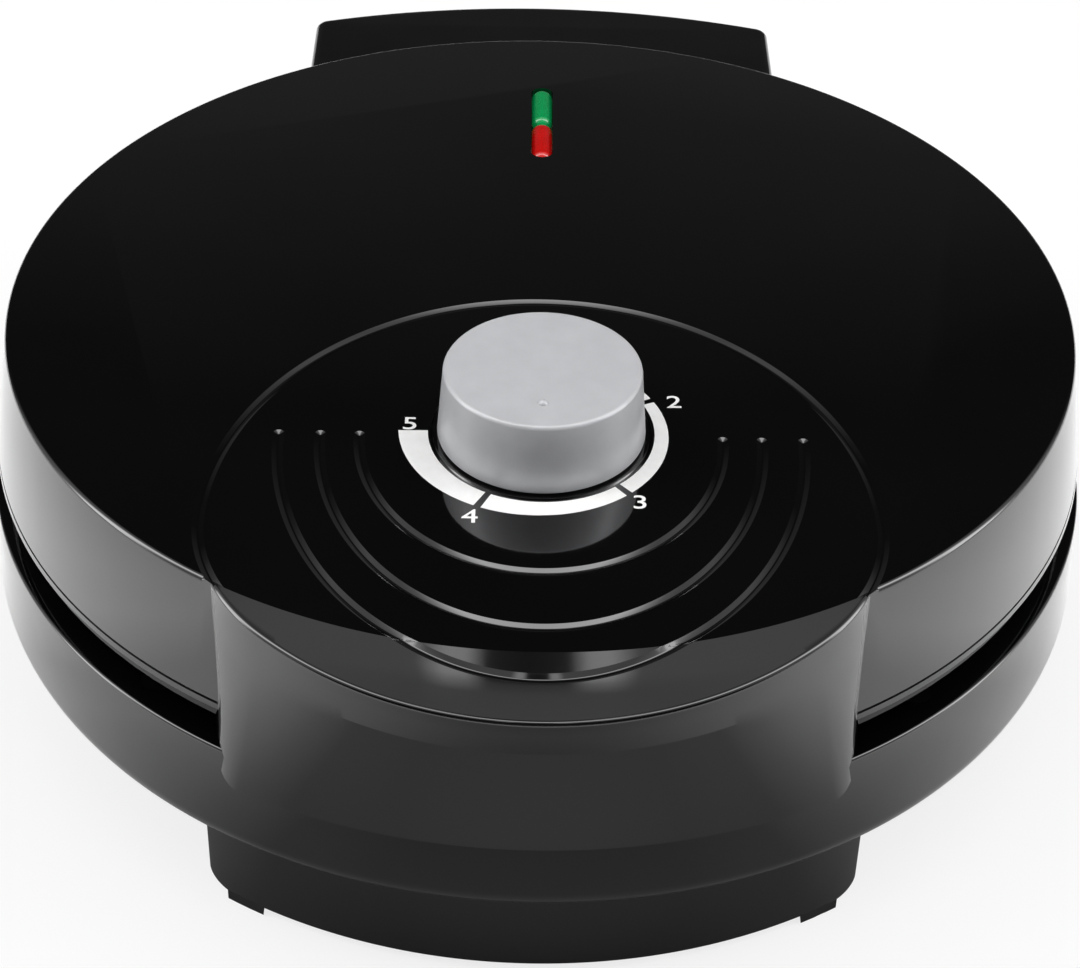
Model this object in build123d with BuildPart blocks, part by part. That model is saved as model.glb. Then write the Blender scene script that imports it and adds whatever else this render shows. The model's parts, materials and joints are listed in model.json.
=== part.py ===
from build123d import *
import math
import os

os.makedirs("parts", exist_ok=True)

# Heights, from the table up
foot_drop = 2.0
leg_rise = 21.5
base_wall_height = 23.5
parting_gap = 3.0
liner_band = 2.6
lid_wall_height = 27.4
knob_height = 15.0
knob_gap = 0.5

base_edge_z = foot_drop + leg_rise
base_top_z = base_edge_z + base_wall_height
parting_z = base_top_z + parting_gap
liner_z = parting_z + parting_gap
lid_edge_z = liner_z + liner_band
lid_top_z = lid_edge_z + lid_wall_height

# Radii of the lid and the base
lid_radius = 112.0
lid_flare = 4.3
lid_rim_round = 0.9
base_step = 1.3
base_flare = 1.4
lid_lip_radius = lid_radius + lid_flare
base_top_radius = lid_lip_radius + base_step
base_edge_radius = base_top_radius + base_flare

# Walls and clearances
wall = 2.5
seam_gap = 0.15
piece_gap = 0.3
skirt_clearance = 0.8
running_clearance = 0.05
cut_margin = 10.0

# Handle lobe of the lid
lobe_widest = lid_radius - 37.0
lobe_half_width = 65.8
lobe_front = lid_radius + 15.3
lobe_nose_radius = 76.3
lobe_back = lobe_widest - 74.1
lobe_split_angle = 27.0
lobe_slope = 14.0
lobe_band = 8.0
skirt_wall = 1.5
skirt_half_width = 61.0
skirt_corner = 8.0
skirt_dip = 0.2
skirt_overlap = 6.0
skirt_z = base_top_z - skirt_overlap
lobe_band_z = lid_top_z - lobe_band

# Depth of the whole, which places the origin in the middle of the box
rear_reach = lid_radius + 25.0
front_reach = lobe_front
centre_y = (front_reach - rear_reach) / 2

# Grooves in the lid
groove_width = 2.2
groove_depth = 0.7
groove_round = 0.6
arc_centre = lobe_widest - 26.0
arc_widths = (35.8, 43.5, 51.7)
arc_reaches = (41.0, 56.5, 68.5)

# Knob and thermostat
knob_y = 28.0 - lobe_widest
knob_top_radius = 19.4
knob_base_radius = 20.6
knob_round = 1.8
knob_wall = 1.8
knob_boss_radius = 6.5
marker_radius = 1.0
shaft_radius = 3.0
shaft_flat = 1.2
thermostat_radius = 13.0
thermostat_height = 13.0
bush_radius = 4.6
strap_thickness = 1.0

# Lamps
lamp_slot_width = 5.0
lamp_slot_rear = lid_radius - 23.7
lamp_slot_front = lamp_slot_rear - 31.5
lamp_split = lamp_slot_rear - 15.8
lens_depth = 4.5
lens_crown = 0.3
neon_radius = 1.9

# Waffle plates
plate_gap = 0.3
plate_radius = lid_radius - 8.0
plate_flange = 4.0
plate_rim = 5.0
plate_floor = 3.0
recess_depth = 9.0
web_radius = plate_radius - 16.0
heart_offset = web_radius - 18.0
heart_lobe_radius = heart_offset / 2.8
heart_gap = 4.0
heart_count = 5
web_drop = 3.0
pad_pitch = 11.0
pad_groove = 3.6
pad_margin = 3.2
pad_height = 5.0
pad_lines = 15
pad_least = 9.0
element_ring = plate_radius - 34.0
element_tube = 3.2
post_ring = plate_radius - 15.0
post_radius = 4.5
post_height = 7.8
sheet = 0.8

# Hinge and rear block
hinge_y = rear_reach - 14.0
hinge_rise = 1.0
barrel_radius = 4.5
barrel_gap = 0.5
pin_radius = 1.5
rear_half_width = 56.5
rear_bow = 175.0
rear_corner = 3.5
cover_drop = 4.0
cover_round = 2.0
block_inset = 2.0
block_step = 6.0
block_clearance = 2.5
tower_x = 38.0
tower_width = 9.0
tower_foot = 9.0
lug_width = 7.0
lug_gap = 0.4
lug_depth = 9.0

# Legs and feet
leg_radius = base_edge_radius - 5.0
leg_depth = 24.0
leg_half_width = 65.0
leg_corner = 5.0
foot_radius = 4.0
foot_recess = 1.0
pad_start = 54.0
pad_end = 61.5
pad_depth = 8.0
rear_foot_x = rear_half_width - 10.5
rear_foot_y = rear_reach - 21.0
bowl_depth = 11.0
bowl_floor_radius = base_edge_radius - 27.0
bowl_round = 4.0

# Screws
screw_radius = 1.5
screw_head = 3.0
screw_head_height = 1.8
boss_radius = 3.6
boss_ring = plate_radius + 3.2
boss_length = 5.0
screw_bite = 8.0
short_bite = 4.0

# Inner pieces
plate_clearance = 0.6
trough_depth = 3.0
trough_half_width = 5.2
terminal_radius = 1.6
element_collar = 2.6
terminal_hole = 3.4
liner_plate = 3.4
spigot_height = 1.2
pin_length = 9.0
element_arc = 306.0
terminal_size = (34.0, 15.0, 9.0)
terminal_y = rear_reach - 55.0
gland_z = 19.0
gland_radius = 6.5
gland_bore = 3.6
gland_flange = 1.6
cover_screw_x = (-18.0, 18.0)
cover_screw_z = 66.0
cover_seat_y = lid_radius - 3.5
cover_seat_depth = 3.4
cover_screw_length = 14.0
fuse_radius = 2.6
fuse_length = 24.0
holder_width = 9.0
holder_wall = 1.6
holder_ear_width = 9.0
neon_length = 10.0
strap_width = 12.0
strap_foot = 11.0
fuse_y = 10.0
clip_width = 6.0
clip_reach = 8.0
marker_reach = 11.5
knob_boss_rise = 1.0
clip_thickness = 0.8
clip_height = 3.0
clip_arc = 310.0
terminal_rise = 1.5
clamp_x = (-5.5, 5.5)
clamp_bore = 2.2
earth_y = 30.0
vent_length = 26.0
vent_width = 3.0
vent_pitch = 9.0
vent_rows = 5
base_rim_round = 0.6
lens_round = 1.4


# Horizontal plane through the body's axis at height z
def level(z):
    return Plane(origin=(0, centre_y, z))


# The same, facing down
def under(z):
    return Plane(origin=(0, centre_y, z), x_dir=(1, 0, 0), z_dir=(0, 0, -1))


# Upright plane facing the front at depth y
def front(y):
    return Plane(origin=(0, centre_y + y, 0), x_dir=(1, 0, 0), z_dir=(0, -1, 0))


# Upright plane through the body's axis, for profiles in radius and height
def section(turn=0.0):
    c = math.cos(math.radians(turn))
    s = math.sin(math.radians(turn))
    return Plane(origin=(0, centre_y, 0), x_dir=(c, s, 0), z_dir=(s, -c, 0))


# Upright plane at x, for profiles in depth and height
def side(x):
    return Plane(origin=(x, centre_y, 0), x_dir=(0, 1, 0), z_dir=(1, 0, 0))


# Radius of the lid's wall and of the base's wall at height z
def lid_radius_at(z):
    return lid_radius + lid_flare * (lid_top_z - z) / lid_wall_height


def base_radius_at(z):
    return base_top_radius + base_flare * (base_top_z - z) / base_wall_height


body_axis = Axis((0, centre_y, 0), (0, 0, 1))
lid_slope = math.tan(math.radians(lobe_slope))
base_floor_z = base_edge_z - bowl_depth
floor_top_z = base_floor_z + wall
lower_face_z = parting_z - plate_gap / 2
upper_face_z = parting_z + plate_gap / 2
plate_thickness = recess_depth + plate_floor
plate_body_radius = plate_radius - plate_rim
rim_opening = plate_radius + plate_clearance
liner_radius = base_top_radius - wall
liner_top_z = liner_z + liner_plate
pan_radius = plate_body_radius + piece_gap
pan_flange = boss_ring + boss_radius
boss_angles = (45, 135, 225, 315)
post_angles = (18, 162, 234, 306)
lower_plate_back = lower_face_z - plate_thickness
upper_plate_back = upper_face_z + plate_thickness
lower_flange_z = base_top_z - wall - boss_length
lower_pan_z = lower_plate_back - post_height
upper_pan_z = upper_plate_back + post_height
pan_top_z = upper_pan_z + sheet
thermostat_z = upper_plate_back + piece_gap
thermostat_top_z = thermostat_z + thermostat_height
shaft_low_z = thermostat_z + shaft_radius
strap_x = thermostat_radius + piece_gap
strap_screw_x = [hand * (strap_x + strap_foot / 2) for hand in (-1, 1)]
ledge_reach = hinge_y - barrel_gap
neon_z = lid_top_z - lens_depth - piece_gap - neon_radius
terminal_points = [(hand * (terminal_size[0] / 2 - 2 * screw_radius), terminal_y) for hand in (-1, 1)]
lamp_ear = (lamp_slot_rear - lamp_slot_front) / 2 + holder_wall + boss_radius
holder_points = [(0, (lamp_slot_front + lamp_slot_rear) / 2 + hand * lamp_ear) for hand in (-1, 1)]
terminal_angles = (90 - (360 - element_arc) / 2, 90 + (360 - element_arc) / 2)
hinge_z = parting_z + hinge_rise
cover_low_z = liner_z + piece_gap * 3
cover_top_z = lid_top_z - cover_drop
block_reach = rear_reach - block_step
ledge_z = hinge_z - barrel_radius - barrel_gap
step_z = hinge_z - (rear_reach - hinge_y) - block_clearance
heart_turn = 180.0 / heart_count
heart_spread = heart_turn - math.degrees(math.asin((heart_lobe_radius + heart_gap / 2) / heart_offset))


# Closed outline of the rear block at half the given width and the given reach
def rear_outline(half_width, reach):
    corner_y = reach - rear_bow + math.sqrt(rear_bow**2 - half_width**2)
    with BuildSketch(mode=Mode.PRIVATE) as outline:
        with BuildLine():
            Polyline((-half_width, corner_y), (-half_width, 0), (half_width, 0), (half_width, corner_y))
            ThreePointArc((-half_width, corner_y), (0, reach), (half_width, corner_y))
        make_face()
        fillet(outline.vertices().group_by(Axis.Y)[-1], rear_corner)
    return outline.sketch


# Plan of the feet: front pads that follow the leg's outer wall and round feet at the rear
def feet_outline(gap):
    with BuildSketch(mode=Mode.PRIVATE) as outline:
        Circle(leg_radius + gap)
        Circle(leg_radius - pad_depth - gap, mode=Mode.SUBTRACT)
        with Locations((0, -leg_radius)):
            Rectangle(2 * (pad_end + gap), leg_radius, mode=Mode.INTERSECT)
            Rectangle(2 * (pad_start - gap), leg_radius, mode=Mode.SUBTRACT)
        with Locations((-rear_foot_x, rear_foot_y), (rear_foot_x, rear_foot_y)):
            Circle(foot_radius + gap)
    return outline.sketch


# Radius and centre of the lobe's side arc, tangent to its nose arc at the given inset
def lobe_side(inset):
    nose = lobe_nose_radius - inset
    half_width = lobe_half_width - inset
    drop = lobe_widest - (lobe_front - lobe_nose_radius)
    radius = (nose**2 - half_width**2 - drop**2) / (2 * (nose - half_width))
    return radius, half_width - radius


# Right half of the handle lobe's plan: side arc in two stretches, then the nose arc
def band_outline(inset):
    nose_centre = (0, lobe_nose_radius - lobe_front)
    side_radius, side_x = lobe_side(inset)
    side_centre = (side_x, -lobe_widest)
    join_angle = math.degrees(math.atan2(side_centre[1] - nose_centre[1], side_centre[0]))
    with BuildSketch(mode=Mode.PRIVATE) as outline:
        with BuildLine():
            Line((0, -lobe_widest), (side_x + side_radius, -lobe_widest))
            CenterArc(side_centre, side_radius, 0, -lobe_split_angle)
            CenterArc(side_centre, side_radius, -lobe_split_angle, join_angle + lobe_split_angle)
            CenterArc(nose_centre, lobe_nose_radius - inset, join_angle, -90 - join_angle)
            Line((0, inset - lobe_front), (0, -lobe_widest))
        make_face()
    return outline.sketch


# Right half of the skirt's plan: concentric with the base, in the same three stretches
def skirt_outline(inset, radius):
    half_width = skirt_half_width - inset
    corner = skirt_corner - inset
    corner_y = -math.sqrt((radius - corner) ** 2 - (half_width - corner) ** 2)
    join_angle = math.degrees(math.atan2(corner_y, half_width - corner))
    with BuildSketch(mode=Mode.PRIVATE) as outline:
        with BuildLine():
            Line((0, -lobe_widest), (half_width, -lobe_widest))
            Line((half_width, -lobe_widest), (half_width, corner_y))
            CenterArc((half_width - corner, corner_y), corner, 0, join_angle)
            CenterArc((0, 0), radius, join_angle, -90 - join_angle)
            Line((0, -radius), (0, -lobe_widest))
        make_face()
    return outline.sketch


# Handle lobe: a band with a sloping top, drawn down into the skirt
def lobe_solid(inset, skirt_radius, top_z):
    reach_out = front_reach + cut_margin
    with BuildPart(mode=Mode.PRIVATE) as lobe:
        with BuildSketch(level(skirt_z)):
            add(skirt_outline(inset, skirt_radius))
        with BuildSketch(level(lobe_band_z)):
            add(band_outline(inset))
        loft(ruled=True)
        with BuildSketch(level(lobe_band_z)):
            add(band_outline(inset))
        extrude(amount=top_z + 1 - lobe_band_z)
        mirror(about=Plane.YZ)
        with BuildSketch(section()):
            with BuildLine():
                Polyline(
                    (0, top_z),
                    (lid_radius, top_z),
                    (reach_out, top_z - (reach_out - lid_radius) * lid_slope),
                    (reach_out, top_z + 5),
                    (0, top_z + 5),
                    close=True,
                )
            make_face()
        revolve(axis=body_axis, mode=Mode.SUBTRACT)
    return lobe.part


# Plan of the ring groove's outer side: the lobe's arcs in front and an ellipse behind
def ring_outline(inset):
    with BuildSketch(mode=Mode.PRIVATE) as outline:
        add(band_outline(inset))
        with BuildLine():
            Line((0, -lobe_widest), (lobe_half_width - inset, -lobe_widest))
            EllipticalCenterArc(
                (0, -lobe_widest), lobe_half_width - inset, lobe_widest - lobe_back - inset, 0, arc_size=90
            )
            Line((0, -lobe_back - inset), (0, -lobe_widest))
        make_face()
        mirror(about=Plane.YZ)
    return outline.sketch


# The grooves to cut: a ring that runs out at the lid's rim, and three arcs over its crease
def groove_solid():
    low_z = lid_top_z - lobe_band / 2
    floor_z = lid_top_z - groove_depth
    high_z = lid_top_z + cut_margin
    reach_out = front_reach + cut_margin
    with BuildPart(mode=Mode.PRIVATE) as grooves:
        with BuildSketch(level(low_z)):
            add(ring_outline(0))
            add(ring_outline(groove_width), mode=Mode.SUBTRACT)
            Circle(lid_radius, mode=Mode.INTERSECT)
        extrude(amount=high_z - low_z)
        with BuildSketch(level(low_z)):
            for half_width, reach in sorted(zip(arc_widths, arc_reaches), reverse=True):
                with Locations((0, -arc_centre)):
                    Ellipse(half_width + groove_width / 2, reach + groove_width / 2)
                    Ellipse(half_width - groove_width / 2, reach - groove_width / 2, mode=Mode.SUBTRACT)
            with Locations((0, -arc_centre + lid_radius)):
                Rectangle(2 * lid_radius, 2 * lid_radius, mode=Mode.SUBTRACT)
            with Locations(*[(hand * x, -arc_centre) for x in arc_widths for hand in (-1, 1)]):
                Circle(groove_width / 2)
        extrude(amount=high_z - low_z)
        with BuildSketch(section()):
            with BuildLine():
                Polyline(
                    (0, floor_z),
                    (lid_radius, floor_z),
                    (reach_out, floor_z - (reach_out - lid_radius) * lid_slope),
                    (reach_out, low_z - cut_margin),
                    (0, low_z - cut_margin),
                    close=True,
                )
            make_face()
        revolve(axis=body_axis, mode=Mode.SUBTRACT)
        floors = grooves.faces().filter_by(lambda face: face.normal_at(face.center()).Z < -0.9)
        sides = ShapeList([edge for face in floors for edge in face.edges()])
        fillet(sides.filter_by(lambda side: sum(side.is_same(other) for other in sides) == 1), groove_round)
    return grooves.part


# One heart, its point on the axis and its two lobes outwards
def heart_outline(inset):
    radius = heart_lobe_radius - inset
    tip = (heart_gap / 2 + inset) / math.sin(math.radians(heart_turn))
    lobe_x = heart_offset * math.cos(math.radians(heart_spread))
    lobe_y = heart_offset * math.sin(math.radians(heart_spread))
    edge_x = lobe_x - radius * math.sin(math.radians(heart_turn))
    edge_y = lobe_y + radius * math.cos(math.radians(heart_turn))
    with BuildSketch(mode=Mode.PRIVATE) as heart:
        with Locations((lobe_x, lobe_y), (lobe_x, -lobe_y)):
            Circle(radius)
        with BuildLine():
            Polyline(
                (tip, 0),
                (edge_x, edge_y),
                (lobe_x, lobe_y),
                (lobe_x, -lobe_y),
                (edge_x, -edge_y),
                close=True,
            )
        make_face()
    return heart.sketch


# The raised pads of one heart: its inset outline cut by two sets of grooves
def heart_pads():
    with BuildSketch(mode=Mode.PRIVATE) as pads:
        add(heart_outline(pad_margin))
        for turn in (45, -45):
            with Locations(Location((pad_pitch * 2.83, 0, 0), (0, 0, turn))):
                with GridLocations(pad_pitch, pad_pitch, pad_lines, 1):
                    Rectangle(pad_groove, 2 * plate_radius, mode=Mode.SUBTRACT)
    return [face for face in pads.sketch.faces() if face.area > pad_least]


# Cast waffle plate with its face at face_z and its back towards "back", +1 up or -1 down
def waffle_plate(face_z, back):
    with BuildPart(mode=Mode.PRIVATE) as plate:
        with BuildSketch(section()):
            with BuildLine():
                Polyline(
                    (0, face_z),
                    (plate_radius, face_z),
                    (plate_radius, face_z + back * plate_flange),
                    (plate_body_radius, face_z + back * plate_flange),
                    (plate_body_radius, face_z + back * plate_thickness),
                    (0, face_z + back * plate_thickness),
                    close=True,
                )
            make_face()
            with Locations((element_ring, face_z + back * (plate_thickness + trough_depth / 2))):
                Rectangle(2 * trough_half_width, trough_depth)
            with Locations((element_ring, face_z + back * (plate_thickness + element_tube))):
                Circle(element_tube + seam_gap, mode=Mode.SUBTRACT)
        revolve(axis=body_axis)
        with BuildSketch(level(face_z)):
            with PolarLocations(0, heart_count, start_angle=-90):
                add(heart_outline(0))
        extrude(amount=back * recess_depth, mode=Mode.SUBTRACT)
        with BuildSketch(level(face_z)):
            Circle(web_radius)
        extrude(amount=back * web_drop, mode=Mode.SUBTRACT)
        with BuildSketch(level(face_z + back * recess_depth)):
            with PolarLocations(0, heart_count, start_angle=-90):
                add(heart_pads())
        extrude(amount=-back * pad_height)
        with BuildSketch(level(face_z + back * plate_thickness)):
            with Locations(*ring_points(post_ring, post_angles)):
                Circle(post_radius)
        extrude(amount=back * post_height)
        with BuildSketch(level(face_z + back * (plate_thickness + post_height))):
            with Locations(*ring_points(post_ring, post_angles)):
                Circle(screw_radius)
        extrude(amount=-back * post_height, mode=Mode.SUBTRACT)
    return plate.part


# Points on a circle about the body's axis
def ring_points(radius, angles):
    return [(radius * math.cos(math.radians(a)), radius * math.sin(math.radians(a))) for a in angles]


# Screws standing on a level, heads towards "head", +1 up or -1 down
def screws(z, points, length, head):
    with BuildPart(mode=Mode.PRIVATE) as group:
        with BuildSketch(level(z)):
            with Locations(*points):
                Circle(screw_head)
        extrude(amount=head * screw_head_height)
        with BuildSketch(level(z)):
            with Locations(*points):
                Circle(screw_radius)
        extrude(amount=-head * length)
    return group.part


# Pressed sheet pan behind a plate, with its flange at flange_z and its floor at floor_z
def heat_pan(flange_z, floor_z, back):
    with BuildPart(mode=Mode.PRIVATE) as pan:
        with BuildSketch(section()):
            with BuildLine():
                Polyline(
                    (pan_radius, flange_z),
                    (pan_flange, flange_z),
                    (pan_flange, flange_z + back * sheet),
                    (pan_radius + sheet, flange_z + back * sheet),
                    (pan_radius + sheet, floor_z + back * sheet),
                    (0, floor_z + back * sheet),
                    (0, floor_z),
                    (pan_radius, floor_z),
                    close=True,
                )
            make_face()
        revolve(axis=body_axis)
        with BuildSketch(level(floor_z)):
            with Locations(*ring_points(post_ring, post_angles)):
                Circle(screw_radius)
            with Locations(*ring_points(element_ring, terminal_angles)):
                Circle(terminal_hole)
        extrude(amount=back * sheet, mode=Mode.SUBTRACT)
        with BuildSketch(level(flange_z)):
            with Locations(*ring_points(boss_ring, boss_angles)):
                Circle(screw_radius)
        extrude(amount=back * sheet, mode=Mode.SUBTRACT)
    return pan.part


# Tubular heater bent round the plate's back, its two cold pins turned away from the plate
def heater(tube_z, back):
    with BuildPart(mode=Mode.PRIVATE) as element:
        with BuildSketch(section(terminal_angles[0])):
            with Locations((element_ring, tube_z)):
                Circle(element_tube)
        revolve(axis=body_axis, revolution_arc=-element_arc)
        with BuildSketch(level(tube_z)):
            with Locations(*ring_points(element_ring, terminal_angles)):
                Circle(element_collar)
        extrude(amount=back * (element_tube + seam_gap))
        with BuildSketch(level(tube_z)):
            with Locations(*ring_points(element_ring, terminal_angles)):
                Circle(terminal_radius)
        extrude(amount=back * pin_length)
    return element.part


# Round bar or bore along X between two stations, centred on the hinge line
def hinge_bar(radius, x_low, x_high):
    with BuildPart(mode=Mode.PRIVATE) as bar:
        with BuildSketch(side(x_low)):
            with Locations((hinge_y, hinge_z)):
                Circle(radius)
        extrude(amount=x_high - x_low)
    return bar.part


skirt_inner = base_radius_at(skirt_z) + skirt_clearance
skirt_outer = skirt_inner + skirt_wall
lobe_shell = lobe_solid(0, skirt_outer, lid_top_z)
lobe_hollow = lobe_solid(wall, skirt_inner - seam_gap, lid_top_z - wall)

# Lid housing
with BuildPart() as lid_housing:
    with BuildSketch(section()) as lid_profile:
        with BuildLine():
            Polyline(
                (0, lid_edge_z),
                (0, lid_top_z),
                (lid_radius, lid_top_z),
                (lid_lip_radius, lid_edge_z),
                close=True,
            )
        make_face()
        fillet(lid_profile.vertices().sort_by(Axis.Z)[-2:].sort_by(Axis.X)[-1], lid_rim_round)
    revolve(axis=body_axis)
    add(lobe_shell)
    with BuildSketch(section()):
        with BuildLine():
            Polyline(
                (0, lid_edge_z),
                (0, lid_top_z - wall),
                (lid_radius_at(lid_top_z - wall) - wall, lid_top_z - wall),
                (lid_lip_radius - wall, lid_edge_z),
                close=True,
            )
        make_face()
    revolve(axis=body_axis, mode=Mode.SUBTRACT)
    add(lobe_hollow, mode=Mode.SUBTRACT)
    with BuildSketch(level(lid_edge_z)):
        Circle(skirt_inner)
    extrude(amount=skirt_z - lid_edge_z - 1, mode=Mode.SUBTRACT)
    # Rounded lower corners of the skirt
    with BuildSketch(section()):
        for hand in (-1, 1):
            with Locations((hand * skirt_half_width, skirt_z)):
                Rectangle(2 * skirt_corner, 2 * skirt_corner)
            with Locations((hand * (skirt_half_width - skirt_corner), skirt_z + skirt_corner - skirt_dip)):
                Circle(skirt_corner, mode=Mode.SUBTRACT)
    extrude(amount=front_reach, mode=Mode.SUBTRACT)
    add(groove_solid(), mode=Mode.SUBTRACT)
    # Screw bosses for the liner
    with BuildSketch(level(lid_top_z - wall)):
        with Locations(*ring_points(boss_ring, boss_angles)):
            Circle(boss_radius)
    extrude(amount=liner_top_z + sheet - lid_top_z + wall)
    with BuildSketch(level(liner_top_z + sheet)):
        with Locations(*ring_points(boss_ring, boss_angles)):
            Circle(screw_radius)
    extrude(amount=screw_bite, mode=Mode.SUBTRACT)
    # Posts for the lamp holder
    with BuildSketch(level(lid_top_z - wall)):
        with Locations(*holder_points):
            Circle(boss_radius)
            Circle(screw_radius, mode=Mode.SUBTRACT)
    extrude(amount=neon_z - neon_radius - lid_top_z + wall)
    # Flat seats and holes in the rear wall for the hinge cover's screws
    with BuildSketch(front(cover_seat_y)):
        with Locations(*[(x, cover_screw_z) for x in cover_screw_x]):
            Circle(boss_radius + 1)
    extrude(amount=-cover_seat_depth)
    with BuildSketch(front(cover_seat_y)):
        with Locations(*[(x, cover_screw_z) for x in cover_screw_x]):
            Circle(screw_radius)
    extrude(amount=-cover_seat_depth - wall - 2, mode=Mode.SUBTRACT)
    # Openings for the knob's shaft and the lamps
    with BuildSketch(level(lid_top_z)):
        with Locations((0, knob_y)):
            Circle(bush_radius + piece_gap)
        with Locations((0, (lamp_slot_front + lamp_slot_rear) / 2)):
            SlotOverall(lamp_slot_rear - lamp_slot_front, lamp_slot_width, rotation=90)
    extrude(amount=-wall, mode=Mode.SUBTRACT)
lid_housing.part.label = "lid_housing"
export_step(lid_housing.part, "parts/lid_housing.step")

# Liner ring round the upper plate, with a spigot inside the lid's wall
spigot_radius = lid_radius_at(liner_top_z + spigot_height) - wall - piece_gap
with BuildPart() as lid_liner:
    with BuildSketch(section()):
        with BuildLine():
            Polyline(
                (rim_opening, liner_z),
                (liner_radius, liner_z),
                (liner_radius, lid_edge_z),
                (spigot_radius, lid_edge_z),
                (spigot_radius, liner_top_z + spigot_height),
                (spigot_radius - 2, liner_top_z + spigot_height),
                (spigot_radius - 2, liner_top_z),
                (rim_opening, liner_top_z),
                close=True,
            )
        make_face()
    revolve(axis=body_axis)
    with Locations(under(liner_z)):
        with Locations(*ring_points(boss_ring, boss_angles)):
            CounterBoreHole(screw_radius, screw_head + seam_gap, screw_head_height)
lid_liner.part.label = "lid_liner"
export_step(lid_liner.part, "parts/lid_liner.step")

# Upper waffle plate, its heater and the pan that carries both
with BuildPart() as upper_plate:
    add(waffle_plate(upper_face_z, 1))
upper_plate.part.label = "upper_plate"
export_step(upper_plate.part, "parts/upper_plate.step")

with BuildPart() as upper_heating_element:
    add(heater(upper_plate_back + element_tube, 1))
upper_heating_element.part.label = "upper_heating_element"
export_step(upper_heating_element.part, "parts/upper_heating_element.step")

with BuildPart() as upper_heat_shield:
    add(heat_pan(liner_top_z, upper_pan_z, 1))
    with BuildSketch(level(upper_pan_z)):
        with Locations((0, knob_y)):
            Circle(thermostat_radius + piece_gap)
        with Locations(*[(x, knob_y) for x in strap_screw_x]):
            Circle(screw_radius)
    extrude(amount=sheet, mode=Mode.SUBTRACT)
upper_heat_shield.part.label = "upper_heat_shield"
export_step(upper_heat_shield.part, "parts/upper_heat_shield.step")

with BuildPart() as upper_plate_screws:
    add(screws(upper_pan_z + sheet, ring_points(post_ring, post_angles), post_height - 1, 1))
upper_plate_screws.part.label = "upper_plate_screws"
export_step(upper_plate_screws.part, "parts/upper_plate_screws.step")

with BuildPart() as liner_screws:
    add(screws(liner_z + screw_head_height, ring_points(boss_ring, boss_angles), screw_bite, -1))
liner_screws.part.label = "liner_screws"
export_step(liner_screws.part, "parts/liner_screws.step")

# Rear block of the lid, hollow, with the lid's hinge lugs inside it
lug_low = tower_x - tower_width / 2 - lug_gap - lug_width
lug_high = tower_x + tower_width / 2 + lug_gap
with BuildPart() as rear_hinge_cover:
    with BuildSketch(level(cover_low_z)):
        add(rear_outline(rear_half_width, rear_reach))
    extrude(amount=cover_top_z - cover_low_z)
    fillet(rear_hinge_cover.edges().group_by(Axis.Z)[-1].sort_by(Axis.Y)[1:], cover_round)
    with BuildSketch(level(cover_low_z)):
        add(rear_outline(rear_half_width - wall, rear_reach - wall))
    extrude(amount=cover_top_z - wall - cover_low_z, mode=Mode.SUBTRACT)
    for low in (lug_low, lug_high, -lug_low - lug_width, -lug_high - lug_width):
        with BuildSketch(side(low)):
            with Locations((hinge_y, hinge_z)):
                Circle(barrel_radius)
            with Locations((hinge_y + barrel_radius - lug_depth / 2, (hinge_z + cover_top_z - wall) / 2)):
                Rectangle(lug_depth, cover_top_z - wall - hinge_z)
        extrude(amount=lug_width)
    with BuildSketch(front(cover_seat_y)):
        with Locations(*[(x, cover_screw_z) for x in cover_screw_x]):
            Circle(boss_radius)
    extrude(amount=cover_seat_y - rear_reach + wall)
    with BuildSketch(section()):
        with BuildLine():
            Polyline(
                (0, cover_low_z - lug_depth),
                (0, lid_top_z + 1),
                (lid_radius_at(lid_top_z + 1) + seam_gap, lid_top_z + 1),
                (lid_radius_at(cover_low_z - lug_depth) + seam_gap, cover_low_z - lug_depth),
                close=True,
            )
        make_face()
    revolve(axis=body_axis, mode=Mode.SUBTRACT)
    with BuildSketch(front(cover_seat_y)):
        with Locations(*[(x, cover_screw_z) for x in cover_screw_x]):
            Circle(screw_radius)
    extrude(amount=-cover_screw_length, mode=Mode.SUBTRACT)
    add(hinge_bar(pin_radius + running_clearance, -rear_half_width + wall, rear_half_width - wall), mode=Mode.SUBTRACT)
rear_hinge_cover.part.label = "rear_hinge_cover"
export_step(rear_hinge_cover.part, "parts/rear_hinge_cover.step")

with BuildPart() as hinge_cover_screws:
    with BuildSketch(front(cover_seat_y)):
        with Locations(*[(x, cover_screw_z) for x in cover_screw_x]):
            Circle(screw_head)
    extrude(amount=screw_head_height)
    with BuildSketch(front(cover_seat_y)):
        with Locations(*[(x, cover_screw_z) for x in cover_screw_x]):
            Circle(screw_radius)
    extrude(amount=-cover_screw_length)
hinge_cover_screws.part.label = "hinge_cover_screws"
export_step(hinge_cover_screws.part, "parts/hinge_cover_screws.step")

# Thermostat under the knob, its strap and its screws
with BuildPart() as thermostat_body:
    with BuildSketch(level(thermostat_z)):
        with Locations((0, knob_y)):
            Circle(thermostat_radius)
    extrude(amount=thermostat_height)
    with BuildSketch(level(thermostat_top_z)):
        with Locations((0, knob_y)):
            Circle(bush_radius)
    extrude(amount=lid_top_z - lid_rim_round - thermostat_top_z)
    with BuildSketch(level(lid_top_z)):
        with Locations((0, knob_y)):
            Circle(shaft_radius + running_clearance)
    extrude(amount=shaft_low_z - piece_gap - lid_top_z, mode=Mode.SUBTRACT)
thermostat_body.part.label = "thermostat_body"
export_step(thermostat_body.part, "parts/thermostat_body.step")

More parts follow.
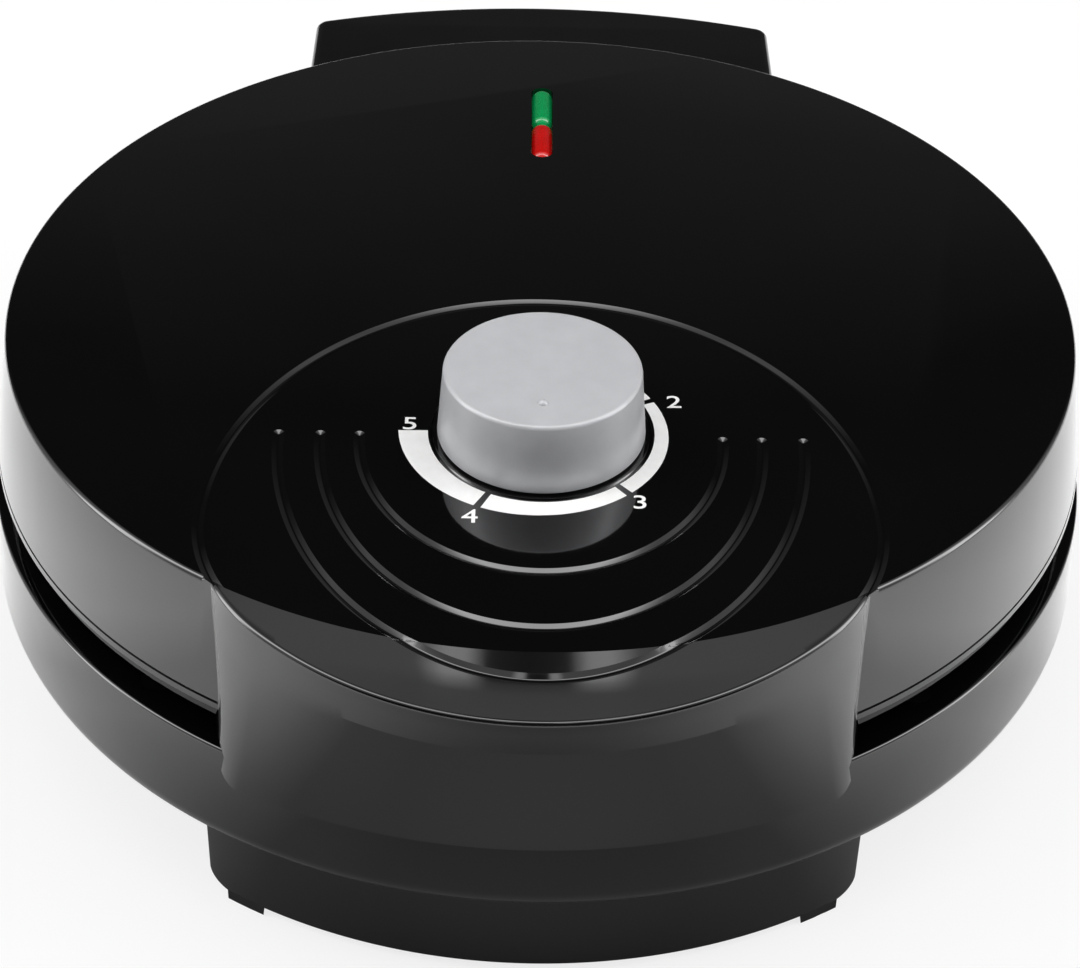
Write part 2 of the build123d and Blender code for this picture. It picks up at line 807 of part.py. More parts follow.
with BuildPart() as thermostat_bracket:
    with BuildSketch(front(knob_y + strap_width / 2)):
        with BuildLine():
            right = (
                (strap_x + strap_thickness, thermostat_top_z + strap_thickness),
                (strap_x + strap_thickness, pan_top_z + strap_thickness),
                (strap_x + strap_foot, pan_top_z + strap_thickness),
                (strap_x + strap_foot, pan_top_z),
                (strap_x, pan_top_z),
                (strap_x, thermostat_top_z),
            )
            Polyline(*right, *[(-x, z) for x, z in reversed(right)], close=True)
        make_face()
    extrude(amount=strap_width)
    with BuildSketch(level(thermostat_top_z)):
        with Locations((0, knob_y)):
            Circle(bush_radius + seam_gap)
    extrude(amount=strap_thickness, mode=Mode.SUBTRACT)
    with BuildSketch(level(pan_top_z)):
        with Locations(*[(x, knob_y) for x in strap_screw_x]):
            Circle(screw_radius)
    extrude(amount=strap_thickness, mode=Mode.SUBTRACT)
thermostat_bracket.part.label = "thermostat_bracket"
export_step(thermostat_bracket.part, "parts/thermostat_bracket.step")

with BuildPart() as thermostat_screws:
    add(screws(pan_top_z + strap_thickness, [(x, knob_y) for x in strap_screw_x], short_bite, 1))
thermostat_screws.part.label = "thermostat_screws"
export_step(thermostat_screws.part, "parts/thermostat_screws.step")

# Thermal fuse lying on the upper pan under its clip
fuse_z = pan_top_z + fuse_radius
with BuildPart() as thermal_fuse:
    with BuildSketch(side(-fuse_length / 2)):
        with Locations((fuse_y, fuse_z)):
            Circle(fuse_radius)
    extrude(amount=fuse_length)
thermal_fuse.part.label = "thermal_fuse"
export_step(thermal_fuse.part, "parts/thermal_fuse.step")

with BuildPart() as fuse_clip:
    with BuildSketch(side(-clip_width / 2)):
        with Locations((fuse_y, fuse_z)):
            Circle(fuse_radius + seam_gap + sheet)
        with Locations((fuse_y, pan_top_z + sheet / 2)):
            Rectangle(2 * clip_reach, sheet)
        with Locations((fuse_y, fuse_z)):
            Circle(fuse_radius + seam_gap, mode=Mode.SUBTRACT)
        with Locations((fuse_y, pan_top_z - fuse_radius)):
            Rectangle(2 * clip_reach, 2 * fuse_radius, mode=Mode.SUBTRACT)
    extrude(amount=clip_width)
fuse_clip.part.label = "fuse_clip"
export_step(fuse_clip.part, "parts/fuse_clip.step")

# Lamps: two lenses in the slot, two neon lamps in the holder below
lens_width = lamp_slot_width - 2 * piece_gap


def lens(low_y, high_y):
    with BuildPart(mode=Mode.PRIVATE) as rod:
        with BuildSketch(level(lid_top_z - lens_depth)):
            with Locations((0, (low_y + high_y) / 2)):
                SlotOverall(high_y - low_y, lens_width, rotation=90)
        extrude(amount=lens_depth + lens_crown)
        fillet(rod.edges().group_by(Axis.Z)[-1], lens_round)
    return rod.part


with BuildPart() as red_lens:
    add(lens(lamp_slot_front + piece_gap, lamp_split - piece_gap / 2))
red_lens.part.label = "red_lens"
export_step(red_lens.part, "parts/red_lens.step")

with BuildPart() as green_lens:
    add(lens(lamp_split + piece_gap / 2, lamp_slot_rear - piece_gap))
green_lens.part.label = "green_lens"
export_step(green_lens.part, "parts/green_lens.step")

lamp_middle = (lamp_slot_front + lamp_slot_rear) / 2
holder_length = lamp_slot_rear - lamp_slot_front + 2 * holder_wall
holder_top_z = lid_top_z - wall
holder_low_z = neon_z - neon_radius - holder_wall
with BuildPart() as lamp_holder:
    with BuildSketch(level(holder_low_z)):
        with Locations((0, lamp_middle)):
            RectangleRounded(holder_width, holder_length, holder_wall)
    extrude(amount=holder_top_z - holder_low_z)
    with BuildSketch(level(holder_low_z)):
        with Locations((0, lamp_middle)):
            RectangleRounded(holder_ear_width, holder_length + 4 * boss_radius, boss_radius)
    extrude(amount=holder_wall)
    with BuildSketch(level(neon_z - neon_radius)):
        with Locations((0, lamp_middle)):
            SlotOverall(holder_length - 2 * holder_wall, lamp_slot_width, rotation=90)
    extrude(amount=holder_top_z - neon_z + neon_radius, mode=Mode.SUBTRACT)
    with BuildSketch(level(holder_low_z)):
        with Locations(*holder_points):
            Circle(screw_radius)
    extrude(amount=holder_wall, mode=Mode.SUBTRACT)
lamp_holder.part.label = "lamp_holder"
export_step(lamp_holder.part, "parts/lamp_holder.step")

with BuildPart() as neon_lamps:
    for low_y in (lamp_slot_front + 2 * neon_radius, lamp_split + neon_radius):
        with BuildSketch(front(low_y)):
            with Locations((0, neon_z)):
                Circle(neon_radius)
        extrude(amount=-neon_length)
neon_lamps.part.label = "neon_lamps"
export_step(neon_lamps.part, "parts/neon_lamps.step")

with BuildPart() as lamp_screws:
    add(screws(holder_low_z, holder_points, holder_wall + screw_bite - 2, -1))
lamp_screws.part.label = "lamp_screws"
export_step(lamp_screws.part, "parts/lamp_screws.step")


# Section of the shaft with its flat, also cut in the knob
def flat_shaft():
    with BuildSketch(mode=Mode.PRIVATE) as outline:
        with Locations((0, knob_y)):
            Circle(shaft_radius)
        with Locations((0, knob_y + 2 * shaft_radius - shaft_flat)):
            Rectangle(2 * shaft_radius, 2 * shaft_radius, mode=Mode.SUBTRACT)
    return outline.sketch


# Temperature knob: a hollow tapered cap with a boss on the shaft
knob_axis = Axis((0, centre_y + knob_y, 0), (0, 0, 1))
knob_low_z = lid_top_z + knob_gap
knob_top_z = knob_low_z + knob_height
boss_low_z = knob_low_z + knob_boss_rise
shaft_top_z = knob_top_z - 2 * knob_wall
with BuildPart() as control_knob:
    with BuildSketch(front(knob_y)):
        with BuildLine():
            Polyline(
                (knob_base_radius, knob_low_z),
                (knob_top_radius, knob_top_z),
                (0, knob_top_z),
                (0, knob_top_z - knob_wall),
                (knob_top_radius - knob_wall, knob_top_z - knob_wall),
                (knob_base_radius - knob_wall, knob_low_z),
                close=True,
            )
        make_face()
    revolve(axis=knob_axis)
    fillet(control_knob.edges().group_by(Axis.Z)[-1], knob_round)
    with BuildSketch(level(boss_low_z)):
        with Locations((0, knob_y)):
            Circle(knob_boss_radius)
    extrude(amount=knob_top_z - knob_wall - boss_low_z)
    with BuildSketch(level(boss_low_z)):
        add(flat_shaft())
    extrude(amount=shaft_top_z - boss_low_z, mode=Mode.SUBTRACT)
    with Locations((0, centre_y + knob_y - marker_reach, knob_top_z - marker_radius / 2)):
        Sphere(marker_radius)
control_knob.part.label = "control_knob"
export_step(control_knob.part, "parts/control_knob.step")

with BuildPart() as thermostat_shaft:
    with BuildSketch(level(shaft_low_z)):
        with Locations((0, knob_y)):
            Circle(shaft_radius)
    extrude(amount=boss_low_z - shaft_low_z)
    with BuildSketch(level(boss_low_z)):
        add(flat_shaft())
    extrude(amount=shaft_top_z - boss_low_z)
thermostat_shaft.part.label = "thermostat_shaft"
export_step(thermostat_shaft.part, "parts/thermostat_shaft.step")

with BuildPart() as knob_clip:
    with BuildSketch(front(knob_y)):
        with Locations((knob_boss_radius + clip_thickness / 2, boss_low_z + clip_height)):
            Rectangle(clip_thickness, clip_height)
    revolve(axis=knob_axis, revolution_arc=clip_arc)
knob_clip.part.label = "knob_clip"
export_step(knob_clip.part, "parts/knob_clip.step")

# Base housing: bowl, front leg and rear block in one moulding
with BuildPart(mode=Mode.PRIVATE) as front_leg:
    with BuildSketch(front(0)) as face:
        with Locations((0, (foot_drop + base_edge_z) / 2 + 1)):
            Rectangle(2 * leg_half_width, base_edge_z - foot_drop + 2)
        fillet(face.vertices().group_by(Axis.Z)[0], leg_corner)
    extrude(amount=leg_radius + 1)
    with BuildSketch(level(0)):
        Circle(leg_radius)
        Circle(leg_radius - leg_depth, mode=Mode.SUBTRACT)
    extrude(amount=base_top_z, mode=Mode.INTERSECT)

with BuildPart() as base_housing:
    with BuildSketch(section()):
        with BuildLine():
            Polyline(
                (0, base_floor_z),
                (bowl_floor_radius, base_floor_z),
                (base_edge_radius, base_edge_z),
                (base_top_radius, base_top_z),
                (0, base_top_z),
                close=True,
            )
        make_face()
    revolve(axis=body_axis)
    fillet(base_housing.edges().filter_by(GeomType.CIRCLE).group_by(Axis.Z)[1], bowl_round)
    fillet(base_housing.edges().group_by(Axis.Z)[-1], base_rim_round)
    add(front_leg.part)
    with BuildSketch(level(foot_drop)):
        add(rear_outline(rear_half_width - block_inset, block_reach))
        Circle(leg_radius - leg_depth, mode=Mode.SUBTRACT)
    extrude(amount=step_z - foot_drop)
    with BuildSketch(level(step_z)):
        with Locations((0, ledge_reach - leg_depth / 2)):
            Rectangle(2 * (rear_half_width - block_inset), leg_depth)
    extrude(amount=ledge_z - step_z)
    # Hollow inside
    with BuildSketch(section()):
        with BuildLine():
            Polyline(
                (0, floor_top_z),
                (bowl_floor_radius, floor_top_z),
                (base_edge_radius - wall, base_edge_z + wall / 2),
                (base_top_radius - wall, base_top_z - wall),
                (0, base_top_z - wall),
                close=True,
            )
        make_face()
    revolve(axis=body_axis, mode=Mode.SUBTRACT)
    with BuildSketch(level(base_top_z)):
        Circle(rim_opening)
    extrude(amount=-2 * wall, mode=Mode.SUBTRACT)
    with BuildSketch(level(foot_drop + wall)):
        Circle(leg_radius - wall)
        Circle(leg_radius - leg_depth + wall, mode=Mode.SUBTRACT)
        with Locations((0, -leg_radius)):
            Rectangle(2 * (leg_half_width - wall), 2 * leg_depth + leg_radius, mode=Mode.INTERSECT)
    extrude(amount=base_edge_z - foot_drop - wall, mode=Mode.SUBTRACT)
    with BuildSketch(level(foot_drop + wall)):
        add(rear_outline(rear_half_width - block_inset - wall, block_reach - wall))
        Circle(leg_radius - leg_depth + wall, mode=Mode.SUBTRACT)
    extrude(amount=step_z - foot_drop - 2 * wall, mode=Mode.SUBTRACT)
    # Bosses for the pan under the rim
    with BuildSketch(level(base_top_z - wall)):
        with Locations(*ring_points(boss_ring, boss_angles)):
            Circle(boss_radius)
    extrude(amount=-boss_length)
    with BuildSketch(level(lower_flange_z)):
        with Locations(*ring_points(boss_ring, boss_angles)):
            Circle(screw_radius)
    extrude(amount=boss_length, mode=Mode.SUBTRACT)
    # Hinge towers
    for low in (tower_x - tower_width / 2, -tower_x - tower_width / 2):
        with BuildSketch(side(low)):
            with Locations((hinge_y, hinge_z)):
                Circle(barrel_radius)
            with Locations((ledge_reach - tower_foot / 2, ledge_z - wall / 2)):
                Rectangle(tower_foot, wall)
            make_hull()
        extrude(amount=tower_width)
    add(hinge_bar(pin_radius, -tower_x - tower_width, tower_x + tower_width), mode=Mode.SUBTRACT)
    # Foot recesses, cord inlet and vents
    with BuildSketch(level(foot_drop)):
        add(feet_outline(seam_gap))
    extrude(amount=foot_recess, mode=Mode.SUBTRACT)
    with BuildSketch(front(block_reach + 1)):
        with Locations((0, gland_z)):
            Circle(gland_radius)
    extrude(amount=2 * wall, mode=Mode.SUBTRACT)
    with BuildSketch(front(block_reach - wall)):
        with Locations((0, gland_z)):
            Circle(gland_radius + 2 * gland_flange)
    extrude(amount=gland_flange, mode=Mode.SUBTRACT)
    with BuildSketch(level(floor_top_z)):
        with GridLocations(vent_length * 1.5, vent_pitch, 2, vent_rows):
            SlotOverall(vent_length, vent_width)
    extrude(amount=-wall, mode=Mode.SUBTRACT)
    # Pad under the terminal block
    with BuildSketch(level(floor_top_z)):
        with Locations((0, terminal_y)):
            Rectangle(terminal_size[0], terminal_size[1])
    extrude(amount=terminal_rise)
    with BuildSketch(level(floor_top_z + terminal_rise)):
        with Locations(*terminal_points):
            Circle(screw_radius)
    extrude(amount=-terminal_rise, mode=Mode.SUBTRACT)
base_housing.part.label = "base_housing"
export_step(base_housing.part, "parts/base_housing.step")

with BuildPart() as rubber_feet:
    with BuildSketch(level(0)):
        add(feet_outline(0))
    extrude(amount=foot_drop + foot_recess)
    fillet(rubber_feet.edges().group_by(Axis.Z)[0], foot_drop / 4)
rubber_feet.part.label = "rubber_feet"
export_step(rubber_feet.part, "parts/rubber_feet.step")

with BuildPart() as hinge_pins:
    for low in (lug_low, -lug_high - lug_width):
        add(hinge_bar(pin_radius, low, low + 2 * lug_width + 2 * lug_gap + tower_width))
hinge_pins.part.label = "hinge_pins"
export_step(hinge_pins.part, "parts/hinge_pins.step")

# Lower waffle plate, its heater and its pan
with BuildPart() as lower_plate:
    add(waffle_plate(lower_face_z, -1))
lower_plate.part.label = "lower_plate"
export_step(lower_plate.part, "parts/lower_plate.step")

with BuildPart() as lower_heating_element:
    add(heater(lower_plate_back - element_tube, -1))
lower_heating_element.part.label = "lower_heating_element"
export_step(lower_heating_element.part, "parts/lower_heating_element.step")

with BuildPart() as lower_heat_shield:
    add(heat_pan(lower_flange_z, lower_pan_z, -1))
    with BuildSketch(level(lower_pan_z)):
        with Locations((0, earth_y)):
            Circle(screw_radius)
    extrude(amount=-sheet, mode=Mode.SUBTRACT)
lower_heat_shield.part.label = "lower_heat_shield"
export_step(lower_heat_shield.part, "parts/lower_heat_shield.step")

with BuildPart() as lower_plate_screws:
    add(screws(lower_pan_z - sheet, ring_points(post_ring, post_angles), post_height - 1, -1))
lower_plate_screws.part.label = "lower_plate_screws"
export_step(lower_plate_screws.part, "parts/lower_plate_screws.step")

with BuildPart() as base_screws:
    add(screws(lower_flange_z - sheet, ring_points(boss_ring, boss_angles), boss_length, -1))
base_screws.part.label = "base_screws"
export_step(base_screws.part, "parts/base_screws.step")

with BuildPart() as earth_screw:
    add(screws(lower_pan_z - sheet, [(0, earth_y)], short_bite, -1))
earth_screw.part.label = "earth_screw"
export_step(earth_screw.part, "parts/earth_screw.step")

# Mains terminal block, its screws and the bush of the cord's inlet
terminal_low_z = floor_top_z + terminal_rise
with BuildPart() as terminal_block:
    with BuildSketch(level(terminal_low_z)):
        with Locations((0, terminal_y)):
            RectangleRounded(terminal_size[0], terminal_size[1], 1)
    extrude(amount=terminal_size[2])
    with BuildSketch(front(terminal_y - terminal_size[1] / 2)):
        with Locations(*[(x, terminal_low_z + terminal_size[2] / 2) for x in clamp_x]):
            Circle(clamp_bore)
    extrude(amount=-terminal_size[1], mode=Mode.SUBTRACT)
    with BuildSketch(level(terminal_low_z + terminal_size[2])):
        with Locations(*terminal_points):
            Circle(screw_radius)
    extrude(amount=-terminal_size[2], mode=Mode.SUBTRACT)
terminal_block.part.label = "terminal_block"
export_step(terminal_block.part, "parts/terminal_block.step")

with BuildPart() as terminal_screws:
    add(screws(terminal_low_z + terminal_size[2], terminal_points, terminal_size[2] + terminal_rise, 1))
terminal_screws.part.label = "terminal_screws"
export_step(terminal_screws.part, "parts/terminal_screws.step")

with BuildPart() as cord_gland:
    with BuildSketch(front(block_reach - wall - gland_flange)):
        with Locations((0, gland_z)):
            Circle(gland_radius + gland_flange)
    extrude(amount=-gland_flange)
    with BuildSketch(front(block_reach - wall)):
        with Locations((0, gland_z)):
            Circle(gland_radius - seam_gap)
    extrude(amount=-wall - gland_flange)
    with BuildSketch(front(block_reach - wall - gland_flange)):
        with Locations((0, gland_z)):
            Circle(gland_bore)
    extrude(amount=-wall - 2 * gland_flange, mode=Mode.SUBTRACT)
cord_gland.part.label = "cord_gland"
export_step(cord_gland.part, "parts/cord_gland.step")
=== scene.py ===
import json
import math
import bmesh
import bpy
from mathutils import Matrix, Vector


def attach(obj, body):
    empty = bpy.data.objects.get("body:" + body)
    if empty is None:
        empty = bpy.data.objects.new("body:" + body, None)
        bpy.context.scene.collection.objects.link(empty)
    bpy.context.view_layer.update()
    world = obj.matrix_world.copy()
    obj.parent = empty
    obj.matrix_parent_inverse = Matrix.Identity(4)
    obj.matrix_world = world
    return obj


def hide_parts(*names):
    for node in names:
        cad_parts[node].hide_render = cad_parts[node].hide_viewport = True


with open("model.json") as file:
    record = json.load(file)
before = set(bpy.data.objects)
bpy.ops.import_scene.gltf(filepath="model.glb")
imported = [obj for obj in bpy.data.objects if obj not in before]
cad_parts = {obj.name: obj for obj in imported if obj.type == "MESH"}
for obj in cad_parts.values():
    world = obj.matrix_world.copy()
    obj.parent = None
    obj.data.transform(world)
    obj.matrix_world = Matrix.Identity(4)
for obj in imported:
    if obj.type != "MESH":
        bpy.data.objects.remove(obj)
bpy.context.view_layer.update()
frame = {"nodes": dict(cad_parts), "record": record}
print("frame loaded")

mm = 0.001
scene = bpy.context.scene
scene.view_settings.view_transform = "Standard"

# The round body's axis and main sizes and the knob's place, as in the CAD, and the slope's bow
body = {
    "centre": Vector((0, -4.85 * mm, 0)),
    "lidTop": 83 * mm,
    "lidRadius": 112 * mm,
    "lidEdge": 55.6 * mm,
    "slope": math.tan(math.radians(14)),
    "bowStart": 118.4 * mm,
    "bow": 0.03,
    "knobY": -47 * mm,
}

# How near two points are to be merged, or to count as on a ring or a plane
tolerance = {"merge": 0.002 * mm, "seam": 0.001 * mm, "ring": 0.02 * mm, "plane": 0.01 * mm}
# Neighbouring faces this flat to each other are joined, in radians
flatAngle = {"lid": 0.001, "node": math.radians(0.4), "tower": 0.01}

finishes = {
    "glossBlack": {
        "colour": (0.0018, 0.0018, 0.002), "spread": 0.15, "roughness": (0.05, 0.075),
        "mottle": 26, "grain": 420, "bump": 0.000003, "specks": 0.04, "coat": 1.0,
    },
    "satinBlack": {
        "colour": (0.013, 0.013, 0.0135), "spread": 0.2, "roughness": (0.3, 0.4),
        "mottle": 40, "grain": 1900, "bump": 0.00004,
    },
    "coverBlack": {
        "colour": (0.004, 0.004, 0.0042), "spread": 0.2, "roughness": (0.08, 0.12),
        "mottle": 40, "grain": 1900, "bump": 0.000008,
    },
    "silverPaint": {
        "colour": (0.56, 0.565, 0.585), "spread": 0.03, "roughness": (0.36, 0.42),
        "mottle": 240, "grain": 5200, "bump": 0.000006, "coat": 0.15, "metallic": 0.15,
    },
    "nonStick": {
        "colour": (0.032, 0.032, 0.034), "spread": 0.25, "roughness": (0.34, 0.48),
        "mottle": 55, "grain": 1300, "bump": 0.00006, "specks": 0.3,
    },
    "panSheet": {
        "colour": (0.5, 0.5, 0.48), "spread": 0.12, "roughness": (0.3, 0.46),
        "mottle": 70, "grain": 900, "bump": 0.00003, "metallic": 1, "stretch": (1, 12, 1),
    },
    "darkTube": {
        "colour": (0.16, 0.145, 0.13), "spread": 0.35, "roughness": (0.42, 0.62),
        "mottle": 120, "grain": 1400, "bump": 0.00004, "metallic": 0.85,
    },
    "zincSteel": {
        "colour": (0.56, 0.56, 0.57), "spread": 0.15, "roughness": (0.25, 0.4), "metallic": 1,
        "mottle": 300, "grain": 2600, "bump": 0.00002,
    },
    "brass": {
        "colour": (0.62, 0.43, 0.16), "spread": 0.15, "roughness": (0.24, 0.38), "metallic": 1,
        "mottle": 260, "grain": 2400, "bump": 0.00002,
    },
    "bakelite": {
        "colour": (0.5, 0.45, 0.36), "spread": 0.12, "roughness": (0.4, 0.55),
        "mottle": 130, "grain": 1700, "bump": 0.00003,
    },
    "rubber": {
        "colour": (0.02, 0.02, 0.02), "spread": 0.2, "roughness": (0.65, 0.8),
        "mottle": 200, "grain": 2200, "bump": 0.00006,
    },
    "dialInk": {
        "colour": (0.93, 0.93, 0.92), "spread": 0.03, "roughness": (0.4, 0.5),
        "mottle": 400, "grain": 4000, "bump": 0.000004,
    },
    "greenLens": {
        "colour": (0.005, 0.4, 0.11), "spread": 0.1, "roughness": (0.05, 0.08),
        "mottle": 300, "grain": 3000, "bump": 0.000002, "coat": 0.6,
        # painted shade: the lens colour darkens towards its sides
        "transmission": 0.2, "glow": 0.2, "paintedSideShade": 0.12,
    },
    "redLens": {
        "colour": (0.72, 0.008, 0.006), "spread": 0.1, "roughness": (0.05, 0.08),
        "mottle": 300, "grain": 3000, "bump": 0.000002, "coat": 0.6,
        # painted shade: the lens colour darkens towards its sides
        "transmission": 0.2, "glow": 0.2, "paintedSideShade": 0.12,
    },
    "neonGlass": {
        "colour": (0.9, 0.62, 0.5), "spread": 0.08, "roughness": (0.04, 0.1),
        "mottle": 200, "grain": 2000, "bump": 0.00001, "transmission": 0.9,
    },
}

# What all finishes have alike
surface = {
    "coatRoughness": 0.03,
    "mottleDetail": 5,
    "shadeFrom": 0.3,
    "shadeTo": 0.7,
    "grainDetail": 3,
    "speckSize": 0.16,
    "bumpStrength": 0.5,
    "facingBlend": 0.5,
}


# Two colours mixed; a Mix node's colour sockets have no names of their own, only numbers
def mixColours(tree, factor, linked, fixed):
    mix = tree.nodes.new("ShaderNodeMix")
    mix.data_type = "RGBA"
    tree.links.new(factor, mix.inputs["Factor"])
    tree.links.new(linked, mix.inputs[6])
    mix.inputs[7].default_value = fixed
    return mix.outputs[2]


def makeFinish(name, spec):
    material = bpy.data.materials.new(name)
    material.use_nodes = True
    tree = material.node_tree
    shader = tree.nodes["Principled BSDF"]
    shader.inputs["Metallic"].default_value = spec.get("metallic", 0)
    shader.inputs["Coat Weight"].default_value = spec.get("coat", 0)
    shader.inputs["Coat Roughness"].default_value = surface["coatRoughness"]
    if "glow" in spec:
        shader.inputs["Emission Color"].default_value = (*spec["colour"], 1)
        shader.inputs["Emission Strength"].default_value = spec["glow"]
    shader.inputs["Transmission Weight"].default_value = spec.get("transmission", 0)
    coords = tree.nodes.new("ShaderNodeTexCoord")
    stretch = tree.nodes.new("ShaderNodeMapping")
    stretch.inputs["Scale"].default_value = spec.get("stretch", (1, 1, 1))
    tree.links.new(coords.outputs["Object"], stretch.inputs["Vector"])

    mottle = tree.nodes.new("ShaderNodeTexNoise")  # broad patches of colour and gloss
    mottle.inputs["Scale"].default_value = spec["mottle"]
    mottle.inputs["Detail"].default_value = surface["mottleDetail"]
    tree.links.new(stretch.outputs["Vector"], mottle.inputs["Vector"])
    shade = tree.nodes.new("ShaderNodeValToRGB")
    low = [part * (1 - spec["spread"]) for part in spec["colour"]]
    high = [min(1, part * (1 + spec["spread"])) for part in spec["colour"]]
    shade.color_ramp.elements[0].position = surface["shadeFrom"]
    shade.color_ramp.elements[0].color = (*low, 1)
    shade.color_ramp.elements[1].position = surface["shadeTo"]
    shade.color_ramp.elements[1].color = (*high, 1)
    tree.links.new(mottle.outputs["Fac"], shade.inputs["Fac"])
    if "paintedSideShade" in spec:  # painted shade: a tinted rod's colour is darkened towards its sides
        facing = tree.nodes.new("ShaderNodeLayerWeight")
        facing.inputs["Blend"].default_value = surface["facingBlend"]
        shadedSideColour = (*[part * spec["paintedSideShade"] for part in spec["colour"]], 1)
        sideShadedColour = mixColours(tree, facing.outputs["Facing"], shade.outputs["Color"], shadedSideColour)
        tree.links.new(sideShadedColour, shader.inputs["Base Color"])
    else:
        tree.links.new(shade.outputs["Color"], shader.inputs["Base Color"])

    grain = tree.nodes.new("ShaderNodeTexNoise")  # moulding texture, finer than the patches
    grain.inputs["Scale"].default_value = spec["grain"]
    grain.inputs["Detail"].default_value = surface["grainDetail"]
    tree.links.new(stretch.outputs["Vector"], grain.inputs["Vector"])
    gloss = tree.nodes.new("ShaderNodeMapRange")
    gloss.inputs["To Min"].default_value = spec["roughness"][0]
    gloss.inputs["To Max"].default_value = spec["roughness"][1]
    tree.links.new(mottle.outputs["Fac"], gloss.inputs["Value"])
    roughness = gloss.outputs["Result"]
    if "specks" in spec:  # dust on gloss, pits in a coating
        speck = tree.nodes.new("ShaderNodeTexVoronoi")
        speck.inputs["Scale"].default_value = spec["grain"]
        tree.links.new(stretch.outputs["Vector"], speck.inputs["Vector"])
        dot = tree.nodes.new("ShaderNodeMapRange")
        dot.inputs["From Max"].default_value = surface["speckSize"]
        dot.inputs["To Min"].default_value = spec["specks"]
        dot.inputs["To Max"].default_value = 0
        tree.links.new(speck.outputs["Distance"], dot.inputs["Value"])
        both = tree.nodes.new("ShaderNodeMath")
        both.operation = "ADD"
        tree.links.new(roughness, both.inputs[0])
        tree.links.new(dot.outputs["Result"], both.inputs[1])
        roughness = both.outputs["Value"]
    tree.links.new(roughness, shader.inputs["Roughness"])
    bump = tree.nodes.new("ShaderNodeBump")
    bump.inputs["Strength"].default_value = surface["bumpStrength"]
    bump.inputs["Distance"].default_value = spec["bump"]
    tree.links.new(grain.outputs["Fac"], bump.inputs["Height"])
    tree.links.new(bump.outputs["Normal"], shader.inputs["Normal"])
    return material


for finishName, spec in finishes.items():
    spec["material"] = makeFinish(finishName, spec)
print("finishes made", len(finishes))


# A finished shape as a piece on its body; edges sharper than sharpFrom degrees stay crisp
def addPiece(name, bm, rider, finish, replaces=(), sharpFrom=35):
    bmesh.ops.remove_doubles(bm, verts=bm.verts, dist=tolerance["merge"])
    bmesh.ops.dissolve_degenerate(bm, edges=bm.edges, dist=tolerance["seam"])
    bmesh.ops.recalc_face_normals(bm, faces=bm.faces)
    for face in bm.faces:
        face.smooth = True
    for edge in bm.edges:
        if len(edge.link_faces) == 2 and edge.calc_face_angle() > math.radians(sharpFrom):
            edge.smooth = False
    mesh = bpy.data.meshes.new(name)
    bm.to_mesh(mesh)
    bm.free()
    piece = bpy.data.objects.new(name, mesh)
    scene.collection.objects.link(piece)
    mesh.materials.append(finishes[finish]["material"])
    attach(piece, rider)
    if replaces:
        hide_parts(*replaces)
    return piece


# A sheet of quads: a row of points is spun half a turn, then place(row, column) puts each point
def spunSheet(rows, columns, place):
    bm = bmesh.new()
    chain = [bm.verts.new((1, 0, row)) for row in range(rows)]
    links = [bm.edges.new(pair) for pair in zip(chain, chain[1:])]
    bmesh.ops.spin(bm, geom=chain + links, cent=(0, 0, 0), axis=(0, 0, 1), angle=math.pi,
                   steps=columns, use_merge=False)
    for vert in bm.verts:
        share = math.atan2(vert.co.y, vert.co.x) / math.pi  # 1 or -1 in the last column
        vert.co = place(round(vert.co.z), round(share * columns) % (2 * columns))
    return bm


# A spun sheet whose rows or ends meet is joined up and its open ends are filled
def closeSheet(bm):
    bmesh.ops.remove_doubles(bm, verts=bm.verts, dist=tolerance["seam"])
    bmesh.ops.holes_fill(bm, edges=[edge for edge in bm.edges if edge.is_boundary])


# A turned shape: the profile of (radius, height) is spun round an upright line
def lathe(profile, centre, steps):
    bm = bmesh.new()
    chain = [bm.verts.new(centre + Vector((radius, 0, height))) for radius, height in profile]
    links = [bm.edges.new(pair) for pair in zip(chain, chain[1:])]
    if profile[0][0] > 0:  # a ring has no point on the axis, so its profile closes
        links.append(bm.edges.new((chain[-1], chain[0])))
    bmesh.ops.spin(bm, geom=chain + links, cent=centre, axis=(0, 0, 1), angle=2 * math.pi,
                   steps=steps, use_merge=True)
    bmesh.ops.remove_doubles(bm, verts=bm.verts, dist=tolerance["merge"])
    return bm


# The ring edges of a turned shape at one corner of its profile are rounded
def roundRing(bm, centre, corner, width, segments, where=lambda edge: True):
    radius, height = corner

    def onRing(vert):
        off = abs((vert.co - centre).xy.length - radius)
        return max(off, abs(vert.co.z - height)) < tolerance["ring"]
    ring = [edge for edge in bm.edges if all(onRing(vert) for vert in edge.verts) and where(edge)]
    bmesh.ops.bevel(bm, geom=ring, offset=width, offset_type="OFFSET", affect="EDGES",
                    segments=segments, profile=0.5, material=-1)


# Edges that test(edge) picks are rounded
def roundEdges(bm, test, width, segments):
    chosen = [edge for edge in bm.edges if test(edge)]
    bmesh.ops.bevel(bm, geom=chosen, offset=width, offset_type="OFFSET", affect="EDGES",
                    segments=segments, profile=0.5, clamp_overlap=True, material=-1)


# A copy of a CAD node with its triangles joined up, so that it shades smoothly
def dressNode(node, rider, finish):
    bm = bmesh.new()
    bm.from_mesh(frame["nodes"][node].data)
    bmesh.ops.remove_doubles(bm, verts=bm.verts, dist=tolerance["merge"])
    bmesh.ops.dissolve_limit(bm, angle_limit=flatAngle["node"], verts=bm.verts, edges=bm.edges)
    addPiece(node + "Dressed", bm, rider, finish, (node,), sharpFrom=30)


# A bmesh made into an object for a cut; the bmesh goes
def draftObject(bm):
    bmesh.ops.recalc_face_normals(bm, faces=bm.faces)
    mesh = bpy.data.meshes.new("draft")
    bm.to_mesh(mesh)
    bm.free()
    draft = bpy.data.objects.new("draft", mesh)
    scene.collection.objects.link(draft)
    return draft


